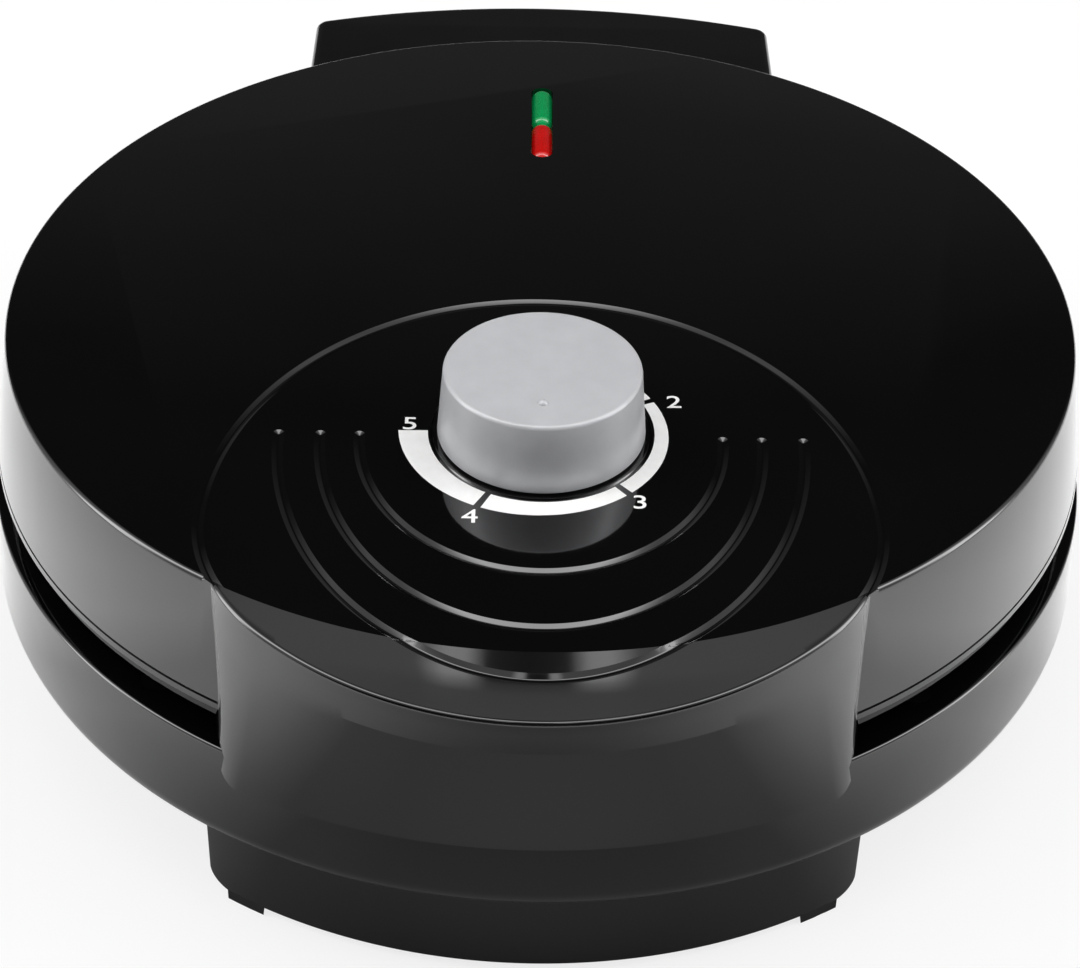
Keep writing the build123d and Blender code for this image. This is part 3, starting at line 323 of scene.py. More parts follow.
# The object's shape with its modifiers applied, or a text's letters; the object goes
def bmeshOf(draft):
    evaluated = draft.evaluated_get(bpy.context.evaluated_depsgraph_get())
    mesh = bpy.data.meshes.new_from_object(evaluated)
    result = bmesh.new()
    result.from_mesh(mesh)
    bpy.data.meshes.remove(mesh)
    bpy.data.objects.remove(draft)
    return result


# The closed shape with the closed tools cut out of it; they all go
def cutAway(shape, tools):
    target = draftObject(shape)
    cutters = [draftObject(tool) for tool in tools]
    for cutter in cutters:
        cut = target.modifiers.new("cut", "BOOLEAN")
        cut.operation = "DIFFERENCE"
        cut.solver = "EXACT"
        cut.object = cutter
    bpy.context.view_layer.update()
    result = bmeshOf(target)
    for cutter in cutters:
        bpy.data.objects.remove(cutter)
    return result


# The other shape goes into the target as it is, with nothing joined
def takeIn(target, other):
    mesh = bpy.data.meshes.new("part")
    other.to_mesh(mesh)
    other.free()
    target.from_mesh(mesh)
    bpy.data.meshes.remove(mesh)


# A flat shape is made into an upright block
def raiseFaces(bm, rise):
    raised = bmesh.ops.extrude_face_region(bm, geom=bm.faces[:])
    up = [item for item in raised["geom"] if isinstance(item, bmesh.types.BMVert)]
    bmesh.ops.translate(bm, verts=up, vec=(0, 0, rise))


# A point given from the round body's axis
def onBody(x, y, z):
    return body["centre"] + Vector((x, y, z))


def inMetres(points):
    return [(across * mm, height * mm) for across, height in points]


def clamp(share):
    return min(1, max(0, share))


# Flat top, then the handle's slope, which grows a little steeper towards its front
def lidTopHeight(radius):
    fall = max(0, radius - body["lidRadius"]) * body["slope"]
    return body["lidTop"] - fall - max(0, radius - body["bowStart"]) * body["bow"]


# Distance from the middle along an angle to a circle round it, whose centre lies elsewhere
def rayToCircle(angle, centre, radius):
    along = math.cos(angle) * centre[0] + math.sin(angle) * centre[1]
    inside = along ** 2 - centre[0] ** 2 - centre[1] ** 2 + radius ** 2
    return along + math.sqrt(inside) if inside > 0 else 0.0


# The handle lobe: a band under the sloping top, drawn in to the skirt in front of the base
lobe = {
    "front": 127.3 * mm,
    "noseRadius": 76.3 * mm,
    "halfWidth": 65.8 * mm,
    "widest": 75 * mm,
    "back": 0.9 * mm,
    "bandLine": 72.5 * mm,
    "skirtLow": 41 * mm,
    "skirtOuter": 120.257 * mm,
    "skirtInner": 118.757 * mm,
    "clearLow": 47.8 * mm,
    "clearHigh": 49.4 * mm,
    "clearAbove": 114.4 * mm,
    "skirtHalfWidth": 61 * mm,
    "skirtCorner": 8 * mm,
    "lowCorner": 4.5 * mm,
    "splitAngle": math.radians(27),
    "rimRound": 0.9 * mm,
    "bandLean": 0.6 * mm,
    "wall": 2.2 * mm,
    "lift": 0.002 * mm,
    "rootIn": 3 * mm,
    "rootDown": 1.8 * mm,
    "sinkShare": 0.5,
    "firstStep": 0.78,
    "columns": (8, 18, 60),
    "rows": {"slope": (1, 6), "rim": (1, 12), "band": (1, 3), "wall": (1, 10), "skirt": (0, 10),
             "inside": (0, 10)},
    "searchSteps": 14,
}

lobeDrop = lobe["widest"] - (lobe["front"] - lobe["noseRadius"])
sideRadius = (lobe["noseRadius"] ** 2 - lobe["halfWidth"] ** 2 - lobeDrop ** 2) / (
    2 * (lobe["noseRadius"] - lobe["halfWidth"]))
sideX = lobe["halfWidth"] - sideRadius
noseY = lobe["noseRadius"] - lobe["front"]
joinAngle = math.atan2(-lobe["widest"] - noseY, sideX)
cornerX = lobe["skirtHalfWidth"] - lobe["skirtCorner"]
cornerY = -math.sqrt((lobe["skirtOuter"] - lobe["skirtCorner"]) ** 2 - cornerX ** 2)
cornerAngle = math.atan2(cornerY, cornerX)


# Right half of the band's plan: step 0 to 2 is the side arc, 2 to 3 the nose arc
def bandPlan(step, inset=0.0):
    if step < 1:
        angle = -lobe["splitAngle"] * step
    elif step < 2:
        angle = -lobe["splitAngle"] + (joinAngle + lobe["splitAngle"]) * (step - 1)
    else:
        angle = joinAngle + (-math.pi / 2 - joinAngle) * (step - 2)
        reach = lobe["noseRadius"] - inset
        return Vector((reach * math.cos(angle), noseY + reach * math.sin(angle)))
    reach = sideRadius - inset
    return Vector((sideX + reach * math.cos(angle), -lobe["widest"] + reach * math.sin(angle)))


# Right half of the skirt's plan in the same steps: straight side, corner, front arc
def skirtPlan(step):
    if step < 1:
        return Vector((lobe["skirtHalfWidth"], -lobe["widest"] + (cornerY + lobe["widest"]) * step))
    if step < 2:
        angle = cornerAngle * (step - 1)
        return Vector((cornerX + lobe["skirtCorner"] * math.cos(angle),
                       cornerY + lobe["skirtCorner"] * math.sin(angle)))
    angle = cornerAngle + (-math.pi / 2 - cornerAngle) * (step - 2)
    return Vector((math.cos(angle), math.sin(angle))) * lobe["skirtOuter"]


def wallPlan(step, height):
    share = clamp((lobe["bandLine"] - height) / (lobe["bandLine"] - lobe["skirtLow"]))
    return bandPlan(step).lerp(skirtPlan(step), share)


# The skirt keeps clear of the bowl below its rim, and comes nearer the axis above it
def clearRadius(height):
    share = clamp((height - lobe["clearLow"]) / (lobe["clearHigh"] - lobe["clearLow"]))
    return lobe["skirtInner"] + (lobe["clearAbove"] - lobe["skirtInner"]) * share


# Under the lid's edge the wall ends where it meets the clearance round the base
def skirtWall(step, height):
    if wallPlan(step, height).length >= clearRadius(height):
        return wallPlan(step, height)
    low, high = step, 2.0
    for _ in range(lobe["searchSteps"]):
        middle = (low + high) / 2
        if wallPlan(middle, height).length < clearRadius(height):
            low = middle
        else:
            high = middle
    return wallPlan(high, height)


# Height of the skirt's lower edge, with its rounded corners
def skirtEdge(step):
    corner = lobe["lowCorner"]
    over = max(0, skirtWall(step, lobe["skirtLow"]).x - lobe["skirtHalfWidth"] + corner)
    return lobe["skirtLow"] + corner - math.sqrt(max(0, corner ** 2 - over ** 2))


lobeSteps = []
for stretch, count in enumerate(lobe["columns"]):
    first = lobe["firstStep"] if stretch == 0 else stretch
    lobeSteps += [first + (stretch + 1 - first) * k / count for k in range(count)]
lobeSteps.append(3.0)
lobeColumns = [(-1, step) for step in lobeSteps]
lobeColumns += [(1, step) for step in reversed(lobeSteps[:-1])]

# Each kind of row with its share of the way, round the section and back to the first row
lobeRows = [("root", 0), ("crease", 0)]
for kind, (start, count) in lobe["rows"].items():
    lobeRows += [(kind, k / count) for k in range(start, count + 1)]
lobeRows.append(("root", 0))


# From the top's root over the crease, slope, rim, band, wall and skirt, and back up inside
def lobePoint(row, column):
    kind, value = lobeRows[row]
    hand, step = lobeColumns[column]
    rim = lobe["rimRound"]
    lean = lobe["bandLean"]
    shoulder = bandPlan(step, rim + lean)
    outward = shoulder.normalized()
    # Behind the crease it goes under the flat top
    sink = lobe["sinkShare"] * max(0, body["lidRadius"] - shoulder.length)
    rimTop = lidTopHeight(shoulder.length) + lobe["lift"] - sink
    start = min(body["lidRadius"], shoulder.length)
    if kind == "root":
        plan = outward * (start - lobe["rootIn"])
        height = body["lidTop"] - lobe["rootDown"] - sink
    elif kind == "crease":
        plan = outward * start
        height = body["lidTop"] + lobe["lift"] - sink
    elif kind == "slope":
        plan = outward * (start + (shoulder.length - start) * value)
        height = lidTopHeight(plan.length) + lobe["lift"] - sink
    elif kind == "rim":
        turn = math.pi / 2 * value
        plan = bandPlan(step, lean + rim * (1 - math.sin(turn)))
        height = rimTop - rim * (1 - math.cos(turn))
    elif kind == "band":
        height = rimTop - rim + (lobe["bandLine"] - rimTop + rim) * value
        plan = bandPlan(step, lean * (1 - value))
    elif kind == "wall":
        height = lobe["bandLine"] + (body["lidEdge"] - lobe["bandLine"]) * value
        plan = wallPlan(step, height)
    elif kind == "skirt":
        height = body["lidEdge"] + (skirtEdge(step) - body["lidEdge"]) * value
        plan = skirtWall(step, height)
    else:
        top = rimTop - rim - lobe["wall"]
        height = skirtEdge(step) + (top - skirtEdge(step)) * value
        outer = skirtWall(step, height) if height < body["lidEdge"] else wallPlan(step, height)
        plan = outer.normalized() * max(clearRadius(height), outer.length - lobe["wall"])
        if height >= body["lidEdge"]:
            plan = outer.normalized() * (outer.length - lobe["wall"])
    return onBody(hand * plan.x, plan.y, height)


lobeMesh = spunSheet(len(lobeRows), len(lobeColumns) - 1, lobePoint)
closeSheet(lobeMesh)
print("lobe", len(lobeMesh.faces))

# The grooves: a ring behind the lobe's outline, and three arcs that cross the crease
groove = {
    "halfWidth": 1.1 * mm,
    "ringTurn": math.radians(23),
    "ringColumns": 220,
    "arcColumns": 170,
    "capColumns": 8,
    "arcCentre": -49 * mm,
    "arcs": ((35.8 * mm, 41 * mm), (43.5 * mm, 56.5 * mm), (51.7 * mm, 68.5 * mm)),
    "section": ((1.53, 0.2), (1.1, 0), (0.25, -0.4), (0.18, -0.428), (0.09, -0.45), (0, -0.457)),
}
flank = inMetres(groove["section"])
grooveSection = flank + [(-across, rise) for across, rise in reversed(flank[:-1])] + flank[:1]


def overLid(x, y, rise):
    return onBody(x, y, lidTopHeight(math.hypot(x, y)) + rise)


# The ring runs along the lobe's outline and closes as half an ellipse behind it
def ringPoint(row, column):
    across, rise = grooveSection[row]
    inset = groove["halfWidth"] + across
    whole = math.pi + 2 * groove["ringTurn"]
    angle = -groove["ringTurn"] + whole * column / groove["ringColumns"]
    if math.sin(angle) >= 0:
        wide = lobe["halfWidth"] - inset
        shadedSideColour = lobe["widest"] - lobe["back"] - inset
        reach = 1 / math.hypot(math.cos(angle) / wide, math.sin(angle) / shadedSideColour)
    else:
        hand = 1 if math.cos(angle) > 0 else -1
        reach = rayToCircle(angle, (hand * sideX, 0), sideRadius - inset)
    return overLid(reach * math.cos(angle), reach * math.sin(angle) - lobe["widest"], rise)


def ringTool():
    bm = spunSheet(len(grooveSection), groove["ringColumns"], ringPoint)
    closeSheet(bm)
    return bm


# Half an ellipse in front of the knob, with round ends
def arcTool(wide, shadedSideColour):
    def arcPoint(row, column):
        across, rise = grooveSection[row]
        cap, last = groove["capColumns"], groove["arcColumns"]
        lift = 0.0
        if column < cap or column > last - cap:
            turn = math.pi / 2 * (1 - min(column, last - column) / cap)
            lift = abs(across) * math.sin(turn)
            across *= math.cos(turn)
        angle = math.pi + math.pi * clamp((column - cap) / (last - 2 * cap))
        x = (wide + across) * math.cos(angle)
        y = groove["arcCentre"] + (shadedSideColour + across) * math.sin(angle) + lift
        return overLid(x, y, rise)
    bm = spunSheet(len(grooveSection), groove["arcColumns"], arcPoint)
    bmesh.ops.remove_doubles(bm, verts=bm.verts, dist=tolerance["seam"])
    return bm


def arcTools():
    return [arcTool(wide, shadedSideColour) for wide, shadedSideColour in groove["arcs"]]


# An upright tool with round ends along the depth, for the lamps' slot and the air slots
def slotTool(centreY, size):
    bm = bmesh.new()
    half = size["width"] / 2
    circle = bmesh.ops.create_circle(bm, cap_ends=True, segments=size["steps"], radius=half)
    ring = circle["verts"]
    for vert in ring:
        vert.co.y += math.copysign(size["length"] / 2 - half, vert.co.y + tolerance["plane"])
    bmesh.ops.translate(bm, verts=ring, vec=onBody(0, centreY, size["low"]))
    raiseFaces(bm, size["high"] - size["low"])
    return bm


# The wall's profile runs from the top's middle over the rim and the lip, and back inside
lid = {
    "profile": ((0, 83), (112, 83), (116.0, 57.6), (115.6, 57.45), (115.6, 57.15), (116.08, 57.0),
                (116.3, 55.6), (113.8, 55.6), (109.9, 80.5), (0, 80.5)),
    "rimCorner": 1,
    "rimRound": 0.9 * mm,
    "rimSteps": 12,
    "lipCorner": 6,
    "lipRound": 0.35 * mm,
    "lipSteps": 10,
    "steps": 288,
    "roundFrom": 61.8 * mm,
    "collar": ((21.35, 83.1), (21.7, 82.72), (22.05, 83.1)),
    "collarSteps": 192,
    "lampY": 72.55 * mm,
    "lampSlot": {"length": 31.5 * mm, "width": 5 * mm, "low": 78 * mm, "high": 85 * mm,
                 "steps": 64},
}

lidProfile = inMetres(lid["profile"])
bm = lathe(lidProfile, body["centre"], lid["steps"])


# The lid's rim is rounded outside the lobe, where the slope takes its place
def besideLobe(edge):
    middle = (edge.verts[0].co + edge.verts[1].co) / 2 - body["centre"]
    return middle.y > 0 or abs(middle.x) > lid["roundFrom"]


rim, lip = lidProfile[lid["rimCorner"]], lidProfile[lid["lipCorner"]]
roundRing(bm, body["centre"], rim, lid["rimRound"], lid["rimSteps"], besideLobe)
roundRing(bm, body["centre"], lip, lid["lipRound"], lid["lipSteps"])
bmesh.ops.dissolve_limit(bm, angle_limit=flatAngle["lid"], verts=bm.verts, edges=bm.edges)
lamps = slotTool(lid["lampY"], lid["lampSlot"])
collar = lathe(inMetres(lid["collar"]), onBody(0, body["knobY"], 0), lid["collarSteps"])
bm = cutAway(bm, [ringTool(), lamps, collar] + arcTools())
takeIn(bm, cutAway(lobeMesh, arcTools()))
lidShell = addPiece("lidShell", bm, "lid", "glossBlack", ("lid_housing",),
                    sharpFrom=10)
print("lid shell", len(lidShell.data.polygons))

# The bowl: the profile runs from the floor's middle up its outside and back inside, and each
# rounding gives its corner in the profile, its width and its segments
base = {
    "profile": ((0, 12.5), (92, 12.5), (119, 23.5), (117.6, 47), (104.6, 47), (104.6, 44.5),
                (115.1, 44.5), (116.4, 24.75), (91.5, 15), (0, 15)),
    "rounds": ((2, 4 * mm, 8), (1, 9 * mm, 8), (3, 0.6 * mm, 4), (4, 0.6 * mm, 3)),
    "steps": 288,
}

# Air slots through the bowl's floor, in two columns
vents = {
    "slot": {"length": 26 * mm, "width": 3 * mm, "low": 11 * mm, "high": 17 * mm, "steps": 64},
    "pitch": 9 * mm,
    "apart": 39 * mm,
    "rows": 5,
}

baseProfile = inMetres(base["profile"])
bm = lathe(baseProfile, body["centre"], base["steps"])
for corner, width, segments in base["rounds"]:
    roundRing(bm, body["centre"], baseProfile[corner], width, segments)
slots = []
sideways = Matrix.Rotation(math.pi / 2, 3, "Z")
for hand in (-1, 1):
    for row in range(vents["rows"]):
        slot = slotTool(0, vents["slot"])
        bmesh.ops.rotate(slot, verts=slot.verts, cent=body["centre"], matrix=sideways)
        along = (row - (vents["rows"] - 1) / 2) * vents["pitch"]
        bmesh.ops.translate(slot, verts=slot.verts, vec=(hand * vents["apart"] / 2, along, 0))
        slots.append(slot)
bm = cutAway(bm, slots)

# Front leg: a wall along the bowl's arc between two upright planes, its lower corners rounded
leg = {
    "inner": 90 * mm,
    "outer": 114 * mm,
    "floor": 2 * mm,
    "halfWidth": 65 * mm,
    "corner": 5 * mm,
    "edge": 0.8 * mm,
    "edgeSteps": 5,
    "columns": 96,
    "cornerColumns": 12,
    "endAngle": 0.6,
    "endRound": 0.8 * mm,
    "endSteps": 4,
    "sink": 1.2 * mm,
}


# The bowl's underside is flat, then rises straight to its edge
def bowlHeight(radius):
    (floorRadius, floorHeight), (edgeRadius, edgeHeight) = baseProfile[1:3]
    slope = (edgeHeight - floorHeight) / (edgeRadius - floorRadius)
    return floorHeight + max(0, radius - floorRadius) * slope


# Where a column of the leg stands from left to right, and how low it reaches
def legAcross(column):
    last, cap = leg["columns"], leg["cornerColumns"]
    straight = leg["halfWidth"] - leg["corner"]
    side = min(column, last - column)
    if side < cap:
        turn = math.pi / 2 * (1 - side / cap)
        reach = straight + leg["corner"] * math.sin(turn)
        low = leg["floor"] + leg["corner"] * (1 - math.cos(turn))
    else:
        reach, low = straight * (1 - (side - cap) / (last / 2 - cap)), leg["floor"]
    return math.copysign(reach, column - last / 2), low


# Rows run round the section: the rounded outer foot, the top's two corners and the inner foot
def legPoint(row, column):
    x, low = legAcross(column)
    steps, edge = leg["edgeSteps"], leg["edge"]
    turn = math.pi / 2 * min(row, 2 * steps + 3 - row) / steps
    if row <= steps or row >= steps + 3:
        inset, rise = edge * (1 - math.sin(turn)), edge * (1 - math.cos(turn))
        outside = row <= steps
    else:
        inset, rise = 0, 0
        outside = row == steps + 1
    radius = leg["outer"] - inset if outside else leg["inner"] + inset
    height = low + rise
    if steps < row < steps + 3:
        height = max(low + edge, bowlHeight(radius) + leg["sink"])
    return onBody(x, -math.sqrt(radius ** 2 - x ** 2), height)


legRows = 2 * leg["edgeSteps"] + 5  # the last row is the first one again
legMesh = spunSheet(legRows, leg["columns"],
                    lambda row, column: legPoint(row % (legRows - 1), column))
closeSheet(legMesh)
bmesh.ops.recalc_face_normals(legMesh, faces=legMesh.faces)


def legEnd(edge):
    nearest = min(abs(vert.co.x) for vert in edge.verts)
    atEnd = nearest > leg["halfWidth"] - tolerance["plane"]
    return atEnd and edge.calc_face_angle(0) > leg["endAngle"]


roundEdges(legMesh, legEnd, leg["endRound"], leg["endSteps"])
takeIn(bm, legMesh)

# Rear block of the base, its ledge and the two hinge towers
rear = {
    "halfWidth": 54.5 * mm,
    "start": 72 * mm,
    "reach": 131 * mm,
    "bow": 175 * mm,
    "bowSteps": 24,
    "bottom": 2 * mm,
    "stepHeight": 34.5 * mm,
    "crispAngle": 0.7,
    "cornersFrom": 100 * mm,
    "corner": 3.5 * mm,
    "cornerSteps": 6,
    "edge": 0.6 * mm,
    "edgeSteps": 3,
    "ledgeStart": 98.5 * mm,
    "ledgeReach": 122.5 * mm,
    "ledgeHeight": 46 * mm,
    "ledgeInset": 0.05 * mm,
    "ledgeSink": 2 * mm,
    "hingeY": 123 * mm,
    "hingeZ": 51 * mm,
    "barrel": 4.5 * mm,
    "barrelSteps": 48,
    "towerX": 38 * mm,
    "towerWidth": 9 * mm,
    "towerDepth": 9 * mm,
    "towerSink": 1 * mm,
}


# An upright block over a plan outline
def block(points, low, high):
    shape = bmesh.new()
    shape.faces.new([shape.verts.new(onBody(x, y, low)) for x, y in points])
    raiseFaces(shape, high - low)
    bmesh.ops.recalc_face_normals(shape, faces=shape.faces)
    return shape


# The rear block's plan, with a slightly bowed back
def bowedOutline():
    half, bow = rear["halfWidth"], rear["bow"]
    points = [(-half, rear["start"]), (half, rear["start"])]
    for step in range(rear["bowSteps"] + 1):
        x = half - 2 * half * step / rear["bowSteps"]
        points.append((x, rear["reach"] - bow + math.sqrt(bow ** 2 - x ** 2)))
    return points


def crisp(edge):
    return edge.calc_face_angle(0) > rear["crispAngle"]


def uprightCorner(edge):
    one, other = [vert.co for vert in edge.verts]
    upright = (one - other).xy.length < tolerance["plane"]
    return upright and crisp(edge) and one.y > rear["cornersFrom"]


lower = block(bowedOutline(), rear["bottom"], rear["stepHeight"])
roundEdges(lower, uprightCorner, rear["corner"], rear["cornerSteps"])
roundEdges(lower, crisp, rear["edge"], rear["edgeSteps"])
takeIn(bm, lower)
half = rear["halfWidth"] - rear["ledgeInset"]
start, end = rear["ledgeStart"], rear["ledgeReach"]
ledgeOutline = ((-half, start), (half, start), (half, end), (-half, end))
upper = block(ledgeOutline, rear["stepHeight"] - rear["ledgeSink"], rear["ledgeHeight"])
roundEdges(upper, crisp, rear["edge"], rear["edgeSteps"])
takeIn(bm, upper)
for hand in (-1, 1):
    tower = bmesh.new()
    ring = bmesh.ops.create_circle(tower, cap_ends=False, segments=rear["barrelSteps"],
                                   radius=rear["barrel"])["verts"]
    x = hand * rear["towerX"] - rear["towerWidth"] / 2
    toHinge = Matrix.Translation(onBody(x, rear["hingeY"], rear["hingeZ"]))
    bmesh.ops.transform(tower, verts=ring, matrix=toHinge @ Matrix.Rotation(math.pi / 2, 4, "Y"))
    for y in (rear["ledgeReach"] - rear["towerDepth"], rear["ledgeReach"]):
        ring.append(tower.verts.new(onBody(x, y, rear["ledgeHeight"] - rear["towerSink"])))
    far = bmesh.ops.duplicate(tower, geom=ring)["geom"]
    far = [item for item in far if isinstance(item, bmesh.types.BMVert)]
    bmesh.ops.translate(tower, verts=far, vec=(rear["towerWidth"], 0, 0))
    bmesh.ops.delete(tower, geom=tower.edges[:], context="EDGES")
    bmesh.ops.convex_hull(tower, input=tower.verts[:])
    bmesh.ops.dissolve_limit(tower, angle_limit=flatAngle["tower"], verts=tower.verts,
                             edges=tower.edges)
    takeIn(bm, tower)
baseShell = addPiece("baseShell", bm, "base", "glossBlack", ("base_housing",))
print("base shell", len(baseShell.data.polygons))

# Lamp lenses: rods with domed backs and round ends, end to end in the slot
lens = {
    "halfWidth": 2.35 * mm,
    "dome": 2.1 * mm,
    "crown": 0.3 * mm,
    "steps": 48,
    "rings": 32,
    "span": {"green": (72.7 * mm, 88.1 * mm), "red": (57.0 * mm, 72.4 * mm)},
}

for colour, (near, far) in lens["span"].items():
    bm = bmesh.new()
    bmesh.ops.create_uvsphere(bm, u_segments=lens["steps"], v_segments=lens["rings"],
                              radius=lens["halfWidth"])
    halfStep = Matrix.Rotation(math.pi / lens["steps"], 3, "Z")  # no side point is in the middle
    bmesh.ops.rotate(bm, verts=bm.verts, matrix=halfStep)
    bmesh.ops.scale(bm, verts=bm.verts, vec=(1, 1, lens["dome"] / lens["halfWidth"]))
    reach = (far - near) / 2 - lens["halfWidth"]
    for vert in bm.verts:
        vert.co.y += math.copysign(reach, vert.co.y + tolerance["seam"])
    height = body["lidTop"] + lens["crown"] - lens["dome"]
    bmesh.ops.translate(bm, verts=bm.verts, vec=onBody(0, (near + far) / 2, height))
    addPiece(colour + "Lens", bm, "lid", colour + "Lens", (colour + "_lens",),
             sharpFrom=80)
print("lamps")

# The knob: a hollow cap with a low round marker on its top
knob = {
    "centre": onBody(0, body["knobY"], 0),
    "low": 83.5 * mm,
    "high": 98.5 * mm,
    "lowRadius": 20.6 * mm,
    "topRadius": 19.4 * mm,
    "wall": 1.8 * mm,
    "steps": 192,
    "topRound": 0.8 * mm,
    "topSteps": 8,
    "lowRound": 0.35 * mm,
    "lowSteps": 3,
    "markerReach": 11.5 * mm,
    "markerRadius": 1.1 * mm,
    "markerSink": 0.4 * mm,
    "markerSteps": 32,
    "markerRings": 16,
}

topCorner, lowCorner = (knob["topRadius"], knob["high"]), (knob["lowRadius"], knob["low"])
ceiling = knob["high"] - knob["wall"]
knobProfile = [(0, knob["high"]), topCorner, lowCorner,
               (knob["lowRadius"] - knob["wall"], knob["low"]),
               (knob["topRadius"] - knob["wall"], ceiling), (0, ceiling)]
bm = lathe(knobProfile, knob["centre"], knob["steps"])
roundRing(bm, knob["centre"], topCorner, knob["topRound"], knob["topSteps"])
roundRing(bm, knob["centre"], lowCorner, knob["lowRound"], knob["lowSteps"])
marker = bmesh.new()
bmesh.ops.create_uvsphere(marker, u_segments=knob["markerSteps"], v_segments=knob["markerRings"],
                          radius=knob["markerRadius"])
spot = knob["centre"] + Vector((0, -knob["markerReach"], knob["high"] - knob["markerSink"]))
bmesh.ops.translate(marker, verts=marker.verts, vec=spot)
takeIn(bm, marker)
addPiece("knobCap", bm, "knob", "silverPaint", ("control_knob",))
print("knob")

# The print round the knob: an arc of growing width with three gaps, and four numbers; gaps are in
# degrees, the outer edge in degrees and mm, the numbers' places in mm from the round body's axis
dial = {
    "centre": onBody(0, body["knobY"], 83.02 * mm),
    "inner": 22.4 * mm,
    "outer": ((181, 28.2), (270, 26.4), (360, 25.1), (449, 23.9)),
    "gaps": (243, 311, 386),
    "gapHalf": 1.6,
    "columns": 40,
    "thickness": 0.04 * mm,
    "digits": (("5", -26.0, -45.4), ("4", -13.5, -74.2), ("3", 18.9, -69.1), ("2", 26.6, -36.8)),
    "digitHeight": 4.0 * mm,
    "capShare": 0.7,
    "digitStretch": 1.15,
    "digitSwell": 0.03 * mm,
}


# Outer radius of the arc at an angle
def arcOuter(degrees):
    for (low, lowRadius), (high, highRadius) in zip(dial["outer"], dial["outer"][1:]):
        if degrees <= high:
            return (lowRadius + (highRadius - lowRadius) * (degrees - low) / (high - low)) * mm
    return dial["outer"][-1][1] * mm


# One stretch of the arc; its rows are the section's four corners and the first one again
def dialStretch(low, high):
    def printPoint(row, column):
        degrees = low + (high - low) * column / dial["columns"]
        radius = arcOuter(degrees) if row in (1, 2) else dial["inner"]
        rise = dial["thickness"] if row in (2, 3) else 0
        angle = math.radians(degrees)
        return dial["centre"] + Vector((radius * math.cos(angle), radius * math.sin(angle), rise))
    stretch = spunSheet(5, dial["columns"], printPoint)
    closeSheet(stretch)
    return stretch


bounds = [dial["outer"][0][0]]
for gap in dial["gaps"]:
    bounds += [gap - dial["gapHalf"], gap + dial["gapHalf"]]
bounds.append(dial["outer"][-1][0])
bm = bmesh.new()
for low, high in zip(bounds[::2], bounds[1::2]):
    takeIn(bm, dialStretch(low, high))
addPiece("dialArc", bm, "lid", "dialInk")

for word, x, y in dial["digits"]:
    curve = bpy.data.curves.new("digit" + word, "FONT")
    curve.body = word
    curve.align_x = "CENTER"
    curve.align_y = "CENTER"
    curve.size = dial["digitHeight"] / dial["capShare"]
    curve.extrude = dial["thickness"] / 2
    curve.offset = dial["digitSwell"]
    letter = bpy.data.objects.new("digitDraft", curve)
    scene.collection.objects.link(letter)
    bpy.context.view_layer.update()
    bm = bmeshOf(letter)
    bmesh.ops.scale(bm, vec=(dial["digitStretch"], 1, 1), verts=bm.verts)
    place = body["centre"] + Vector((x * mm, y * mm, dial["centre"].z + dial["thickness"] / 2))
    bmesh.ops.translate(bm, vec=place, verts=bm.verts)
    addPiece("digit" + word, bm, "lid", "dialInk")
print("dial print")

# CAD nodes that show, at rest or open, each with its body, finish and slot
dressed = {
    "rear_hinge_cover": ("lid", "coverBlack", "satin_black"),
    "lid_liner": ("lid", "satinBlack", "satin_black"),
    "rubber_feet": ("base", "rubber", "rubber"),
    "lower_plate": ("base", "nonStick", "nonstick"),
    "upper_plate": ("lid", "nonStick", "nonstick"),
    "cord_gland": ("base", "satinBlack", "satin_black"),
    "hinge_pins": ("base", "zincSteel", "steel"),
    "liner_screws": ("lid", "zincSteel", "steel"),
}

for node, (rider, finish, slotName) in dressed.items():
    dressNode(node, rider, finish)

# The other nodes keep their CAD mesh and take the finish of their slot
slotFinish = {
    "gloss_black": "glossBlack",
    "satin_black": "satinBlack",
    "rubber": "rubber",
    "nonstick": "nonStick",
    "pan_steel": "panSheet",
    "heater_steel": "darkTube",
    "steel": "zincSteel",
    "brass": "brass",
    "bakelite": "bakelite",
    "silver": "silverPaint",
    "green_lens": "greenLens",
    "red_lens": "redLens",
    "neon_glass": "neonGlass",
}

nodeSlot = {part["node"]: part["material_slot"] for part in frame["record"]["subparts"]}
for node, carried in frame["nodes"].items():
    for materialSlot in carried.material_slots:
        materialSlot.material = finishes[slotFinish[nodeSlot[node]]]["material"]
print("carried-over nodes", len(frame["nodes"]))

